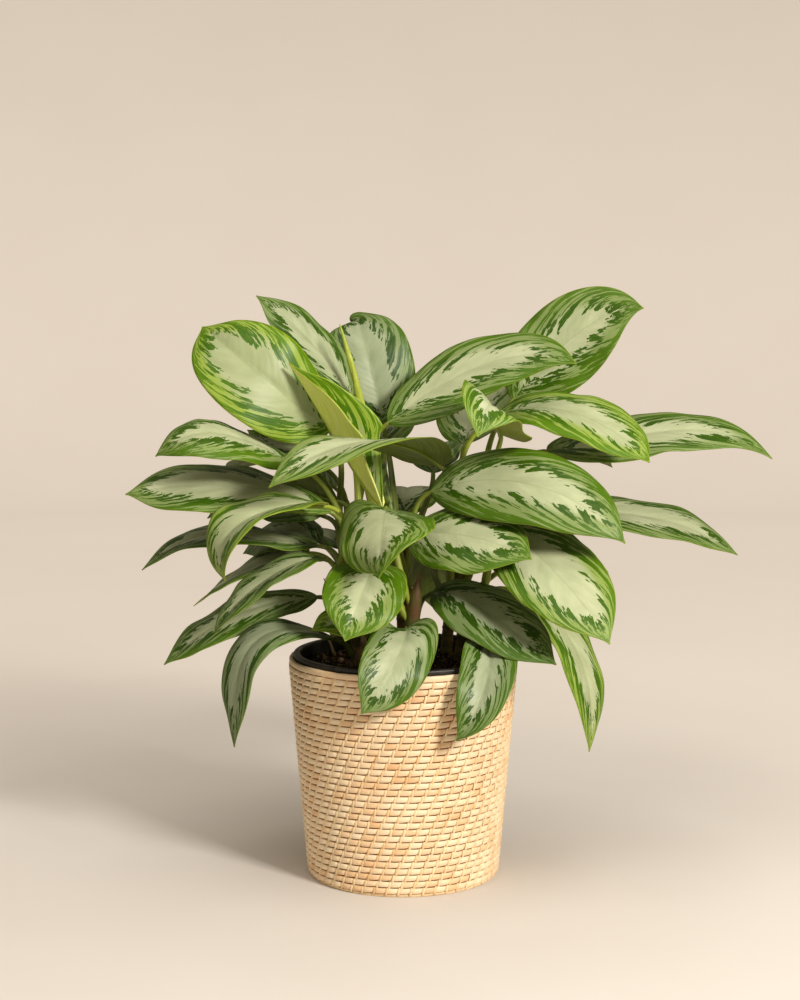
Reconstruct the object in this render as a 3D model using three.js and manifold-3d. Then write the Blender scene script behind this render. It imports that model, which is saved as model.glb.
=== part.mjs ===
// A potted chinese evergreen in a woven cane basket.
// Millimetres, +Z up. The origin is the centre of the basket's flat underside, and -Y is the plant's front.
import * as THREE from "three";
import { mergeVertices } from "three/addons/utils/BufferGeometryUtils.js";
import Module from "manifold-3d";

// --- Driving dimensions: the basket, the nursery pot standing in it, and the soil
const GAP = 0.3;
const ROUND_SIDES = 36;
const BASKET_HEIGHT = 262;
const BASKET_TOP_RADIUS = 136.5;
const BASKET_BASE_RADIUS = 114;
const BASKET_WALL = 5;
const BASKET_LIP_ROUND = 2;
const BASKET_FOOT_ROUND = 6;
const POT_HEIGHT = 262;
const POT_RIM_RADIUS = 131;
const POT_RIM_WIDTH = 7;
const POT_RIM_DEPTH = 9;
const POT_RIM_ROUND = 2;
const POT_BASE_RADIUS = 98;
const POT_WALL = 1.6;
const SOIL_UNDER_RIM = 10;
const SOIL_CROWN = 3;

// --- Driving dimensions: canes, leaf stalks and blades
const CANE_RADIUS = 7.5;
const CANE_SIDES = 7;
const CANE_STEPS = 4;
const CANE_ROOT_DEPTH = 60;
const CANE_UPRIGHT = 0.4;
const CANE_AXIS_STEPS = 60;
const STALK_RADIUS = 2.9;
const STALK_SIDES = 5;
const STALK_STEPS = 7;
const STALK_POINTS = 5;
const STALK_SPREAD = 0.16;
const STALK_RISE = 0.42;
const STALK_LEAD = 0.35;
const STALK_END_ALONG = 0.1;
const STALK_UNDER_BASE = 1.2;
const STALK_UNDER_RIB = 0.6;
const STALK_FULL_UNTIL = 0.8;
const STALK_TIP = 0.4;
const BLADE_THICKNESS = 1.0;
const BLADE_ROWS = 8;
const BLADE_COLUMNS = 4;
const BLADE_END_WIDTH = 2;
const WIDEST_AT = 0.42;
const BASE_ROUNDNESS = 0.6;
const TIP_BLUNTNESS = 5;
const WAVE_HEIGHT = 2;
const WAVES_PER_BLADE = 2.5;
const WAVE_LAG_ACROSS = 0.25;
const WAVE_LAG_PER_LEAF = 0.37;

const POT_FLOOR = BASKET_WALL + GAP;
const POT_TOP = POT_FLOOR + POT_HEIGHT;
const SOIL_TOP = POT_TOP - SOIL_UNDER_RIM;

// --- The canes: where each stands on the soil, and where its head is
const CANES = [
  { name: "cane_left", foot: [-52, -22], head: [-84, -34, 345] },
  { name: "cane_back_left", foot: [-50, 46], head: [-70, 64, 385] },
  { name: "cane_front", foot: [6, -52], head: [16, -64, 352] },
  { name: "cane_right", foot: [66, -4], head: [95, -10, 345] },
  { name: "cane_back_right", foot: [52, 48], head: [76, 66, 385] },
  { name: "cane_young", foot: [-30, -14], head: [-42, -14, 392] },
  { name: "cane_middle", foot: [0, 6], head: [-4, 10, 400] },
];

// --- The youngest leaf, still rolled into a spear: points from the middle cane to its tip
const SPEAR = [[-4, 8, 390], [-18, 14, 450], [-40, 22, 520], [-57, 17, 590], [-75, 10, 657]];
const SPEAR_RADIUS = 3.4;
const SPEAR_TIP_RADIUS = 0.6;
const SPEAR_STEPS = 8;

// --- The leaves. height: where the stalk leaves its cane. rib: four points along the midrib, from the stalk
// to the tip. face: where the upper side looks at the stalk, and faceTip at the tip. fold: how steeply the
// halves rise from the midrib. curl: how far they bend back towards the margins, in degrees as fold is.
// widest: how far along the blade is widest. blunt: lower for a longer drawn-out tip. lobe: how strongly the
// halves reach back past the stalk, in the shape of a heart. bow: how far the stalk swings aside, so that it
// passes its neighbours.
const LEAVES = [
  {
    name: "leaf_left_01", cane: "cane_young", height: 352, width: 118, fold: 6, curl: 16,
    rib: [[-85, 10, 533], [-135, -20, 571], [-187, -25, 615], [-239, 25, 653]],
    face: [0.15, -1, 0.35], widest: 0.5,
  },
  {
    name: "leaf_left_02", cane: "cane_back_left", height: 370, width: 72, fold: 10, curl: 25,
    rib: [[-61, 36, 570], [-95, 40, 617], [-133, 44, 658], [-176, 46, 690]],
    face: [0.5, -0.65, 0.55],
  },
  {
    name: "leaf_left_03", cane: "cane_middle", height: 385, width: 108, fold: 8, curl: 20,
    rib: [[-24, 72, 535], [-36, 70, 591], [-51, 90, 646], [-63, 132, 656]],
    face: [0.1, -1, 0.25],
  },
  {
    name: "leaf_left_04", cane: "cane_young", height: 376, width: 108, fold: 60, curl: -6,
    rib: [[-25, -40, 443], [-66, -20, 501], [-98, -24, 556], [-132, -32, 611]],
    face: [0.72, -0.5, 0.51], widest: 0.42, blunt: 2.5, lobe: -60,
  },
  {
    name: "leaf_left_05", cane: "cane_back_right", height: 320, width: 90, fold: 14, curl: 26,
    rib: [[45, 5, 489], [-13, -75, 522], [-82, -125, 518], [-149, -150, 477]],
    face: [0.1, 0.7, 0.7],
    faceTip: [-0.2, -0.75, 0.6],
  },
  {
    name: "leaf_left_06", cane: "cane_young", height: 330, width: 92, fold: 10, curl: 40,
    rib: [[-124, 2, 491], [-186, -43, 524], [-237, -68, 532], [-284, -73, 506]],
    face: [-0.1, -0.5, 0.85], widest: 0.55,
  },
  {
    name: "leaf_left_07", cane: "cane_left", height: 326, width: 98, fold: 8, curl: 26,
    rib: [[-85, -8, 436], [-156, -25, 463], [-243, -38, 470], [-324, -38, 459]],
    face: [0, -0.35, 0.9], widest: 0.55,
    faceTip: [0, -0.6, 0.8],
  },
  {
    name: "leaf_left_08", cane: "cane_back_left", height: 330, width: 80, fold: 10, curl: 25,
    rib: [[-98, 46, 426], [-145, 54, 438], [-192, 58, 442], [-239, 60, 420]],
    face: [0, -0.4, 0.9], bow: [-8, 6],
  },
  {
    name: "leaf_left_09", cane: "cane_back_left", height: 360, width: 84, fold: 10, curl: 25,
    rib: [[-89, 60, 528], [-126, 78, 563], [-164, 92, 569], [-196, 105, 536]],
    face: [0, -0.5, 0.85],
  },
  {
    name: "leaf_left_10", cane: "cane_back_left", height: 352, width: 56, fold: 14, curl: 25,
    rib: [[-79, 26, 445], [-103, 33, 452], [-127, 38, 463], [-154, 42, 476]],
    face: [-0.1, 0.85, 0.45],
  },
  {
    name: "leaf_left_11", cane: "cane_young", height: 340, width: 98, fold: 20, curl: 20,
    rib: [[-92, -60, 449], [-149, -105, 448], [-195, -130, 423], [-200, -130, 370]],
    face: [0.05, -0.05, 0.98],
    faceTip: [-0.75, -0.5, 0.4],
  },
  {
    name: "leaf_left_12", cane: "cane_left", height: 300, width: 82, fold: 12, curl: 24,
    rib: [[-101, 15, 393], [-173, 5, 405], [-241, -5, 406], [-310, -10, 366]],
    face: [0, -0.2, 0.95],
  },
  {
    name: "leaf_left_13", cane: "cane_back_left", height: 296, width: 76, fold: 12, curl: 24,
    rib: [[-114, 55, 379], [-165, 58, 369], [-213, 50, 345], [-255, 40, 315]],
    face: [0, -0.4, 0.9],
    faceTip: [0, 0.25, 1],
  },
  {
    name: "leaf_left_14", cane: "cane_left", height: 290, width: 60, fold: 20, curl: 30,
    rib: [[-92, -45, 385], [-134, -72, 378], [-182, -95, 347], [-216, -105, 304]],
    face: [-0.1, -0.22, 1],
  },
  {
    name: "leaf_left_15", cane: "cane_left", height: 275, width: 84, fold: 10, curl: 26,
    rib: [[-103, 10, 332], [-163, -8, 325], [-224, -22, 301], [-282, -35, 257]],
    face: [0, -0.3, 0.95],
  },
  {
    name: "leaf_left_16", cane: "cane_left", height: 262, width: 68, fold: 12, curl: 26,
    rib: [[-82, -38, 290], [-160, -90, 302], [-190, -106, 252], [-194, -104, 174]],
    face: [-0.2, -0.35, 0.85],
    faceTip: [-0.75, -0.55, 0.2],
  },
  {
    name: "leaf_left_17", cane: "cane_front", height: 280, width: 56, fold: 14, curl: 24,
    rib: [[-21, -40, 301], [-50, -60, 312], [-79, -75, 314], [-105, -85, 307]],
    face: [0, -0.6, 0.8],
  },
  {
    name: "leaf_left_18", cane: "cane_back_left", height: 312, width: 84, fold: 10, curl: 26,
    rib: [[-102, 74, 390], [-136, 86, 402], [-169, 98, 394], [-200, 110, 370]],
    face: [0, -0.4, 0.9],
  },
  {
    name: "leaf_left_19", cane: "cane_back_left", height: 334, width: 80, fold: 10, curl: 26,
    rib: [[-90, 74, 478], [-124, 80, 500], [-158, 88, 512], [-192, 95, 526]],
    face: [0, -0.4, 0.9],
  },
  {
    name: "leaf_front_01", cane: "cane_front", height: 330, width: 120, fold: 4, curl: 40,
    rib: [[-20, -75, 447], [-22, -112, 436], [-25, -150, 413], [-27, -180, 380]],
    face: [0.3, -0.5, 0.85], lobe: 90, blunt: 3,
    faceTip: [-1, -0.5, 0.3],
  },
  {
    name: "leaf_front_02", cane: "cane_front", height: 308, width: 94, fold: 10, curl: 26,
    rib: [[-38, -75, 381], [-41, -108, 366], [-52, -135, 340], [-65, -150, 305]],
    face: [0.05, -0.6, 0.8], lobe: 35, blunt: 4,
    faceTip: [0, -1, 0.3],
  },
  {
    name: "leaf_front_03", cane: "cane_front", height: 268, width: 78, fold: 14, curl: 30,
    rib: [[3, -90, 310], [0, -125, 298], [-17, -155, 267], [-47, -170, 227]],
    face: [-0.15, -0.75, 0.65], lobe: 75,
    faceTip: [0.6, -0.7, 0.3],
  },
  {
    name: "leaf_middle_01", cane: "cane_middle", height: 372, width: 66, fold: 14, curl: 24,
    rib: [[36, 30, 478], [38, 70, 500], [44, 110, 508], [54, 152, 505]],
    face: [0, 0.1, 1],
  },
  {
    name: "leaf_right_01", cane: "cane_back_right", height: 370, width: 108, fold: 14, curl: 24,
    rib: [[133, 70, 564], [185, 62, 622], [237, 50, 663], [286, 30, 675]],
    face: [-0.1, -0.9, 0.4],
  },
  {
    name: "leaf_right_02", cane: "cane_middle", height: 352, width: 95, fold: 10, curl: 26,
    rib: [[-18, 10, 540], [55, 5, 590], [130, -9, 619], [200, -44, 611]],
    face: [-0.1, -0.7, 0.7],
  },
  {
    name: "leaf_right_03", cane: "cane_back_right", height: 360, width: 92, fold: 12, curl: 12,
    rib: [[116, 0, 526], [108, -60, 548], [98, -105, 567], [82, -142, 533]],
    face: [0.36, 0.1, 0.85],
    faceTip: [0.35, -0.8, 0.55],
  },
  {
    name: "leaf_right_04", cane: "cane_back_right", height: 340, width: 90, fold: 10, curl: 26,
    rib: [[112, 30, 547], [170, 5, 558], [232, -25, 540], [284, -60, 498]],
    face: [-0.05, -0.5, 0.85], bow: [-30, 20], widest: 0.5,
  },
  {
    name: "leaf_right_05", cane: "cane_back_right", height: 334, width: 92, fold: 10, curl: 26,
    rib: [[173, 40, 505], [262, 48, 519], [357, 40, 529], [441, 20, 496]],
    face: [0, -0.5, 0.85], blunt: 3, bow: [10, 24],
  },
  {
    name: "leaf_right_06", cane: "cane_back_right", height: 300, width: 88, fold: 12, curl: 26,
    rib: [[174, 70, 435], [254, 75, 426], [330, 70, 414], [409, 60, 375]],
    face: [0, -0.4, 0.9],
  },
  {
    name: "leaf_right_07", cane: "cane_middle", height: 350, width: 108, fold: 8, curl: 30,
    rib: [[32, -15, 460], [106, -60, 478], [183, -100, 463], [249, -125, 412]],
    face: [0.05, -0.8, 0.6],
  },
  {
    name: "leaf_right_08", cane: "cane_front", height: 318, width: 104, fold: 10, curl: 30,
    rib: [[7, -35, 413], [54, -70, 417], [103, -100, 410], [144, -125, 394]],
    face: [0, -0.75, 0.65],
  },
  {
    name: "leaf_right_09", cane: "cane_right", height: 335, width: 114, fold: 8, curl: 26,
    rib: [[114, -25, 428], [151, -80, 397], [196, -130, 352], [229, -158, 303]],
    face: [0.25, -0.9, 0.4],
  },
  {
    name: "leaf_right_10", cane: "cane_front", height: 292, width: 92, fold: 10, curl: 26,
    rib: [[34, -20, 341], [73, -50, 336], [125, -85, 307], [174, -110, 271]],
    face: [0.1, -0.6, 0.75],
  },
  {
    name: "leaf_right_11", cane: "cane_right", height: 300, width: 80, fold: 12, curl: 26,
    rib: [[131, 20, 338], [183, 8, 303], [219, 0, 238], [224, 0, 144]],
    face: [0.3, -0.4, 0.8],
    faceTip: [0.8, -0.5, 0.3],
  },
  {
    name: "leaf_right_12", cane: "cane_right", height: 262, width: 66, fold: 22, curl: 16,
    rib: [[94, -48, 280], [99, -98, 281], [88, -141, 242], [59, -152, 193]],
    face: [0.15, -0.7, 0.7],
    faceTip: [-0.2, -1, 0.2],
  },
  {
    name: "leaf_back_01", cane: "cane_back_left", height: 378, width: 104, fold: 10, curl: 26,
    rib: [[-24, 110, 505], [-34, 165, 545], [-48, 220, 562], [-62, 270, 545]],
    face: [0, 0.3, 1], bow: [24, 8],
  },
  {
    name: "leaf_back_02", cane: "cane_back_right", height: 378, width: 106, fold: 10, curl: 26,
    rib: [[76, 125, 506], [92, 176, 552], [110, 224, 575], [130, 268, 560]],
    face: [0, 0.3, 1],
  },
  {
    name: "leaf_back_03", cane: "cane_back_left", height: 304, width: 96, fold: 10, curl: 26,
    rib: [[-84, 100, 455], [-135, 140, 480], [-185, 180, 485], [-232, 215, 462]],
    face: [0, 0.1, 1], bow: [-8, 6],
  },
  {
    name: "leaf_back_04", cane: "cane_back_right", height: 342, width: 98, fold: 10, curl: 26,
    rib: [[118, 105, 460], [170, 145, 490], [222, 182, 495], [272, 215, 470]],
    face: [0, 0.1, 1], bow: [10, 8],
  },
  {
    name: "leaf_back_05", cane: "cane_middle", height: 345, width: 100, fold: 10, curl: 28,
    rib: [[2, 105, 420], [4, 160, 445], [8, 215, 440], [14, 265, 400]],
    face: [0, 0.2, 1],
  },
  {
    name: "leaf_back_06", cane: "cane_back_left", height: 288, width: 92, fold: 10, curl: 28,
    rib: [[-72, 112, 375], [-112, 155, 395], [-150, 195, 385], [-182, 228, 345]],
    face: [-0.1, 0.2, 1],
  },
  {
    name: "leaf_back_07", cane: "cane_back_right", height: 305, width: 92, fold: 10, curl: 28,
    rib: [[88, 112, 380], [130, 155, 400], [168, 195, 388], [200, 228, 345]],
    face: [0.1, 0.2, 1],
  },
  {
    name: "leaf_back_08", cane: "cane_back_left", height: 268, width: 86, fold: 12, curl: 28,
    rib: [[-40, 100, 310], [-52, 150, 312], [-62, 188, 270], [-68, 205, 215]],
    face: [0, 0.5, 0.9],
    faceTip: [0, 1, 0.2],
  },
  {
    name: "leaf_back_09", cane: "cane_back_right", height: 300, width: 92, fold: 12, curl: 28,
    rib: [[34, 104, 366], [40, 150, 370], [46, 188, 336], [50, 208, 276]],
    face: [0, 0.5, 0.9],
    faceTip: [0.1, 1, 0.2],
  },
  {
    name: "leaf_back_10", cane: "cane_back_right", height: 280, width: 86, fold: 10, curl: 26,
    rib: [[140, 62, 370], [185, 95, 378], [228, 122, 362], [262, 142, 330]],
    face: [0, -0.1, 1],
  },
];

const wasm = await Module();
wasm.setup();

const vector = ([x, y, z]) => new THREE.Vector3(x, y, z);
const radians = THREE.MathUtils.degToRad;

// A closed geometry becomes a solid that can be joined and cut.
function solidOf(geometry) {
  const bare = new THREE.BufferGeometry();
  bare.setAttribute("position", geometry.getAttribute("position"));
  bare.setIndex(geometry.index);
  const merged = mergeVertices(bare, 1e-3);
  const vertProperties = new Float32Array(merged.getAttribute("position").array);
  const triVerts = new Uint32Array(merged.index.array);
  return new wasm.Manifold(new wasm.Mesh({ numProp: 3, vertProperties, triVerts }));
}

function geometryOf(solid) {
  const { vertProperties, triVerts } = solid.getMesh();
  const geometry = new THREE.BufferGeometry();
  geometry.setAttribute("position", new THREE.BufferAttribute(vertProperties, 3));
  geometry.setIndex(new THREE.BufferAttribute(triVerts, 1));
  geometry.computeVertexNormals();
  return geometry;
}

// A profile of [radius, height] pairs turned about the Z axis.
function turned(profile, sides = ROUND_SIDES) {
  const points = profile.map(([radius, height]) => new THREE.Vector2(radius, height));
  return new THREE.LatheGeometry(points, sides).rotateX(Math.PI / 2);
}

// A round bar whose axis follows a curve, with its thickness given along the way.
function bentBar(curve, steps, sides, radiusAt) {
  const profile = [new THREE.Vector2(0, 0)];
  for (let ring = 0; ring <= steps; ring += 1) profile.push(new THREE.Vector2(1, ring));
  profile.push(new THREE.Vector2(0, steps));
  const bar = new THREE.LatheGeometry(profile, sides);
  const frames = curve.computeFrenetFrames(steps, false);
  const position = bar.getAttribute("position");
  for (let i = 0; i < position.count; i += 1) {
    const ring = position.getY(i);
    const radius = radiusAt(ring / steps);
    const point = curve.getPointAt(ring / steps);
    point.addScaledVector(frames.normals[ring], position.getX(i) * radius);
    point.addScaledVector(frames.binormals[ring], -position.getZ(i) * radius);
    position.setXYZ(i, point.x, point.y, point.z);
  }
  return bar;
}

// The basket: a tapered cup with a rounded lip, a rounded foot and a flat floor.
function basketGeometry() {
  const top = BASKET_TOP_RADIUS;
  const base = BASKET_BASE_RADIUS;
  const foot = BASKET_FOOT_ROUND;
  const chamfer = 1 - Math.SQRT1_2;
  const lip = BASKET_LIP_ROUND;
  return turned([
    [0, 0],
    [base - foot, 0],
    [base - foot * chamfer, foot * chamfer],
    [base + (top - base) * (foot / BASKET_HEIGHT), foot],
    [top, BASKET_HEIGHT - lip],
    [top - lip, BASKET_HEIGHT],
    [top - BASKET_WALL, BASKET_HEIGHT],
    [base - BASKET_WALL, BASKET_WALL],
    [0, BASKET_WALL],
  ]);
}

// The pot's inner radius at a height, where its wall is straight.
function potInside(height) {
  const rise = (height - POT_FLOOR) / (POT_HEIGHT - POT_RIM_DEPTH);
  const top = POT_RIM_RADIUS - POT_RIM_WIDTH;
  return THREE.MathUtils.lerp(POT_BASE_RADIUS, top, rise) - POT_WALL;
}

// The nursery pot: a thin tapered cup with a rolled rim.
function potGeometry() {
  const rimFoot = POT_TOP - POT_RIM_DEPTH;
  const neck = POT_RIM_RADIUS - POT_RIM_WIDTH;
  const round = POT_RIM_ROUND;
  return turned([
    [0, POT_FLOOR],
    [POT_BASE_RADIUS, POT_FLOOR],
    [neck, rimFoot],
    [POT_RIM_RADIUS, rimFoot + round / 2],
    [POT_RIM_RADIUS, POT_TOP - round],
    [POT_RIM_RADIUS - round, POT_TOP],
    [neck + round / 2, POT_TOP],
    [neck - POT_WALL, POT_TOP - round],
    [potInside(rimFoot), rimFoot],
    [potInside(POT_FLOOR + POT_WALL), POT_FLOOR + POT_WALL],
    [0, POT_FLOOR + POT_WALL],
  ]);
}

// A cane stands upright at its foot and leans out towards its head.
function caneCurve(cane) {
  const [x, y] = cane.foot;
  const head = vector(cane.head);
  const foot = new THREE.Vector3(x, y, SOIL_TOP);
  const root = new THREE.Vector3(x, y, SOIL_TOP - CANE_ROOT_DEPTH);
  const bend = new THREE.Vector3(x, y, THREE.MathUtils.lerp(foot.z, head.z, CANE_UPRIGHT));
  return new THREE.CubicBezierCurve3(root, foot, bend, head);
}

function caneGeometry(cane, margin = 0) {
  return bentBar(caneCurve(cane), CANE_STEPS, CANE_SIDES, () => CANE_RADIUS + margin);
}

// The soil fills the pot and is slightly crowned, with a plain hole for each cane.
function soilGeometry(caneHoles) {
  const floor = POT_FLOOR + POT_WALL + GAP;
  const edge = SOIL_TOP - SOIL_CROWN;
  const body = solidOf(
    turned([
      [0, floor],
      [potInside(floor) - GAP, floor],
      [potInside(edge) - GAP, edge],
      [potInside(edge) / 2, SOIL_TOP - SOIL_CROWN / 4],
      [0, SOIL_TOP],
    ]),
  );
  return geometryOf(caneHoles.reduce((soil, hole) => soil.subtract(hole), body));
}

// The smooth curve through four points, spaced evenly along it.
function throughFour([a, b, c, d]) {
  const [first, second, third, last] = [a, b, c, d].map(vector);
  const mix = (...weights) => {
    const sum = new THREE.Vector3();
    [first, second, third, last].forEach((point, i) => sum.addScaledVector(point, weights[i] / 6));
    return sum;
  };
  return new THREE.CubicBezierCurve3(first, mix(-5, 18, -9, 2), mix(2, -9, 18, -5), last);
}

// The half width of a blade, as a share of its widest, from a round base to a drawn-out tip.
function outline(leaf, u) {
  const widest = leaf.widest ?? WIDEST_AT;
  if (u < widest) {
    const e = 1 - u / widest;
    return (1 - e * e) ** BASE_ROUNDNESS;
  }
  const e = (u - widest) / (1 - widest);
  return Math.sqrt(1 - e * e) * (1 - e ** (leaf.blunt ?? TIP_BLUNTNESS));
}

// The blade's frame at u: a point on the midrib, the way along it, its right side and its upper side.
function ribFrame(leaf, u) {
  const along = leaf.curve.getTangentAt(u);
  const face = vector(leaf.face).lerp(vector(leaf.faceTip ?? leaf.face), u);
  const side = new THREE.Vector3().crossVectors(along, face).normalize();
  const up = new THREE.Vector3().crossVectors(side, along);
  return { point: leaf.curve.getPointAt(u), along, side, up };
}

// A point of the blade's middle surface: u runs from stalk to tip, v from -1 to 1 across it.
function bladePoint(leaf, u, v) {
  const { point, along, side, up } = ribFrame(leaf, u);
  const shape = outline(leaf, u);
  const half = THREE.MathUtils.lerp(BLADE_END_WIDTH / 2, leaf.width / 2, shape);
  const fold = radians(leaf.fold);
  const curl = radians(leaf.curl);
  const out = Math.abs(v);
  const reach = (half * (Math.sin(fold) - Math.sin(fold - curl * out))) / curl;
  const lift = (half * (Math.cos(fold - curl * out) - Math.cos(fold))) / curl;
  const lag = leaf.waveLag + (v < 0 ? WAVE_LAG_ACROSS : 0);
  const ripple = Math.sin(2 * Math.PI * (WAVES_PER_BLADE * u + lag));
  const wave = WAVE_HEIGHT * out * out * shape * ripple;
  const back = (leaf.lobe ?? 0) * out * out * shape * Math.max(1 - u / WIDEST_AT, 0);
  point.addScaledVector(side, Math.sign(v) * reach).addScaledVector(up, lift + wave);
  return point.addScaledVector(along, -back);
}

// The way that the blade's upper side looks at u, v.
function bladeNormal(leaf, u, v) {
  const step = 0.01;
  const [u0, u1] = [Math.max(u - step, 0), Math.min(u + step, 1)];
  const [v0, v1] = [Math.max(v - step, -1), Math.min(v + step, 1)];
  const along = bladePoint(leaf, u1, v).sub(bladePoint(leaf, u0, v));
  const across = bladePoint(leaf, u, v1).sub(bladePoint(leaf, u, v0));
  return across.cross(along).normalize();
}

// Rows of points along the blade stand closer together at both of its ends.
function rowPlace(even) {
  const eased = (1 - Math.cos(Math.PI * even)) / 2;
  return (even + eased) / 2;
}

// A blade: one grid of points on each side, split into triangles alike, and a rim that joins them.
function bladeGeometry(leaf) {
  const grid = new THREE.PlaneGeometry(2, 1, BLADE_COLUMNS, BLADE_ROWS);
  const place = grid.getAttribute("position");
  const count = place.count;
  const points = [];
  for (const side of [1, -1]) {
    for (let i = 0; i < count; i += 1) {
      const u = rowPlace(place.getY(i) + 0.5);
      const v = place.getX(i);
      const point = bladePoint(leaf, u, v);
      point.addScaledVector(bladeNormal(leaf, u, v), (side * BLADE_THICKNESS) / 2);
      points.push(...point.toArray());
    }
  }
  const faces = [];
  const upper = grid.index.array;
  for (let i = 0; i < upper.length; i += 3) {
    const [a, b, c] = [upper[i], upper[i + 1], upper[i + 2]];
    faces.push(a, b, c, a + count, c + count, b + count);
  }
  const wide = BLADE_COLUMNS + 1;
  const rim = [];
  for (let c = 0; c < BLADE_COLUMNS; c += 1) rim.push(c);
  for (let r = 0; r < BLADE_ROWS; r += 1) rim.push(r * wide + BLADE_COLUMNS);
  for (let c = BLADE_COLUMNS; c > 0; c -= 1) rim.push(BLADE_ROWS * wide + c);
  for (let r = BLADE_ROWS; r > 0; r -= 1) rim.push(r * wide);
  rim.forEach((a, i) => {
    const b = rim[(i + 1) % rim.length];
    faces.push(a, b, b + count, a, b + count, a + count);
  });
  const blade = new THREE.BufferGeometry();
  blade.setAttribute("position", new THREE.Float32BufferAttribute(points, 3));
  blade.setIndex(faces);
  return blade;
}

// The point of a cane's axis at a height.
function caneAxisAt(cane, height) {
  const curve = caneCurve(cane);
  let best = curve.getPoint(1);
  for (let i = 0; i <= CANE_AXIS_STEPS; i += 1) {
    const point = curve.getPoint(i / CANE_AXIS_STEPS);
    if (Math.abs(point.z - height) < Math.abs(best.z - height)) best = point;
  }
  return best;
}

// The stalk leaves its cane at the leaf's height, bows outwards and up, and ends sunk into the blade's
// underside, where it becomes the midrib.
function stalkGeometry(leaf, cane) {
  const root = caneAxisAt(cane, leaf.height);
  const base = ribFrame(leaf, 0);
  const reach = base.point.distanceTo(root);
  const away = base.point.clone().sub(root).setZ(0).normalize();
  root.addScaledVector(away, CANE_RADIUS / 2);
  const rise = root.clone().addScaledVector(away, reach * STALK_SPREAD);
  const [bowX, bowY] = leaf.bow ?? [0, 0];
  rise.add(new THREE.Vector3(bowX, bowY, reach * STALK_RISE));
  const lead = base.point.clone().addScaledVector(base.along, -reach * STALK_LEAD);
  const way = new THREE.CubicBezierCurve3(root, rise, lead, base.point).getPoints(STALK_POINTS);
  const end = ribFrame(leaf, STALK_END_ALONG);
  way[STALK_POINTS].addScaledVector(base.up, -STALK_UNDER_BASE);
  way.push(end.point.addScaledVector(end.up, -STALK_UNDER_RIB));
  const taper = (s) => {
    const beyond = Math.max(s - STALK_FULL_UNTIL, 0) / (1 - STALK_FULL_UNTIL);
    return STALK_RADIUS * THREE.MathUtils.lerp(1, STALK_TIP, beyond);
  };
  return bentBar(new THREE.CatmullRomCurve3(way), STALK_STEPS, STALK_SIDES, taper);
}

// A leaf still rolled up: a slim spear that stands out of the middle cane.
function spearGeometry() {
  const way = new THREE.CatmullRomCurve3(SPEAR.map(vector));
  const taper = (s) => THREE.MathUtils.lerp(SPEAR_RADIUS, SPEAR_TIP_RADIUS, s ** 3);
  return bentBar(way, SPEAR_STEPS, STALK_SIDES, taper);
}

// --- Materials
const finish = (color, roughness) => new THREE.MeshStandardMaterial({ color, roughness, metalness: 0 });
const basketCane = finish(0xdfb985, 0.6);
const potPlastic = finish(0x23201d, 0.45);
const soilBrown = finish(0x3a2a1e, 0.95);
const leafGreen = finish(0x9fb083, 0.4);
const stemGreen = finish(0x6f7f3a, 0.5);

// --- The plant, from the basket up
const plant = new THREE.Group();

function addPiece(name, geometry, material) {
  const piece = new THREE.Mesh(geometry, material);
  piece.name = name;
  plant.add(piece);
}

// What meets a cane ends a gap short of it.
const caneHoles = CANES.map((cane) => solidOf(caneGeometry(cane, GAP)));
const trimmedByCanes = (solid) => geometryOf(caneHoles.reduce((rest, hole) => rest.subtract(hole), solid));

addPiece("basket", basketGeometry(), basketCane);
addPiece("nursery_pot", potGeometry(), potPlastic);
addPiece("soil", soilGeometry(caneHoles), soilBrown);
for (const cane of CANES) addPiece(cane.name, caneGeometry(cane), stemGreen);
addPiece("leaf_spear", trimmedByCanes(solidOf(spearGeometry())), stemGreen);

LEAVES.forEach((leaf, i) => {
  leaf.curve = throughFour(leaf.rib);
  leaf.waveLag = (i * WAVE_LAG_PER_LEAF) % 1;
  const cane = CANES.find(({ name }) => name === leaf.cane);
  const whole = solidOf(bladeGeometry(leaf)).add(solidOf(stalkGeometry(leaf, cane)));
  addPiece(leaf.name, trimmedByCanes(whole), leafGreen);
});

export default plant;
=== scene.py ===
# %% [markdown]
# # A potted chinese evergreen in a woven cane basket
#
# The plant is built up the way it stands: a tapered basket woven from split cane, the black pot hidden in
# it, the soil, seven short canes, and forty-five leaves with green margins round a silver middle. The
# packed model already holds the place and size of every piece, so each new piece is made in that same
# frame, in metres, and nothing has to be fitted afterwards.

import math
import random

import bmesh
import bpy
from mathutils import Matrix, Vector, geometry, noise


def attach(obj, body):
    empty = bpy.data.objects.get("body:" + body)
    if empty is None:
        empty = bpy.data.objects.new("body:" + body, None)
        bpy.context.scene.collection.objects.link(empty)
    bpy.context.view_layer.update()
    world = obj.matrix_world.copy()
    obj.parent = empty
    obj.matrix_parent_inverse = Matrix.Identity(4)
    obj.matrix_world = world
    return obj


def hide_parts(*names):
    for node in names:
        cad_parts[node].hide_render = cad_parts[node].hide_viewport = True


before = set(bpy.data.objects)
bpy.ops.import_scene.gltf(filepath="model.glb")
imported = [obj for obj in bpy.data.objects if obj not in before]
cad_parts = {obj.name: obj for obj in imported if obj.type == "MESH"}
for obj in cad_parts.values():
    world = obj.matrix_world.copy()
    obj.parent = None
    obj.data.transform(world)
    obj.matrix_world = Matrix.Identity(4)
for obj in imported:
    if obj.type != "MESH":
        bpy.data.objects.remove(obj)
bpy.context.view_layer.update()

# %% [markdown]
# ## The camera
#
# The picture looks slightly down on the plant from a little over two metres away. The basket's rim and
# foot show as two ellipses, and how flat each one is gives the camera's height and tilt. Such a long,
# narrow view keeps the near leaves from swelling, which a wide lens close by would do.

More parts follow.
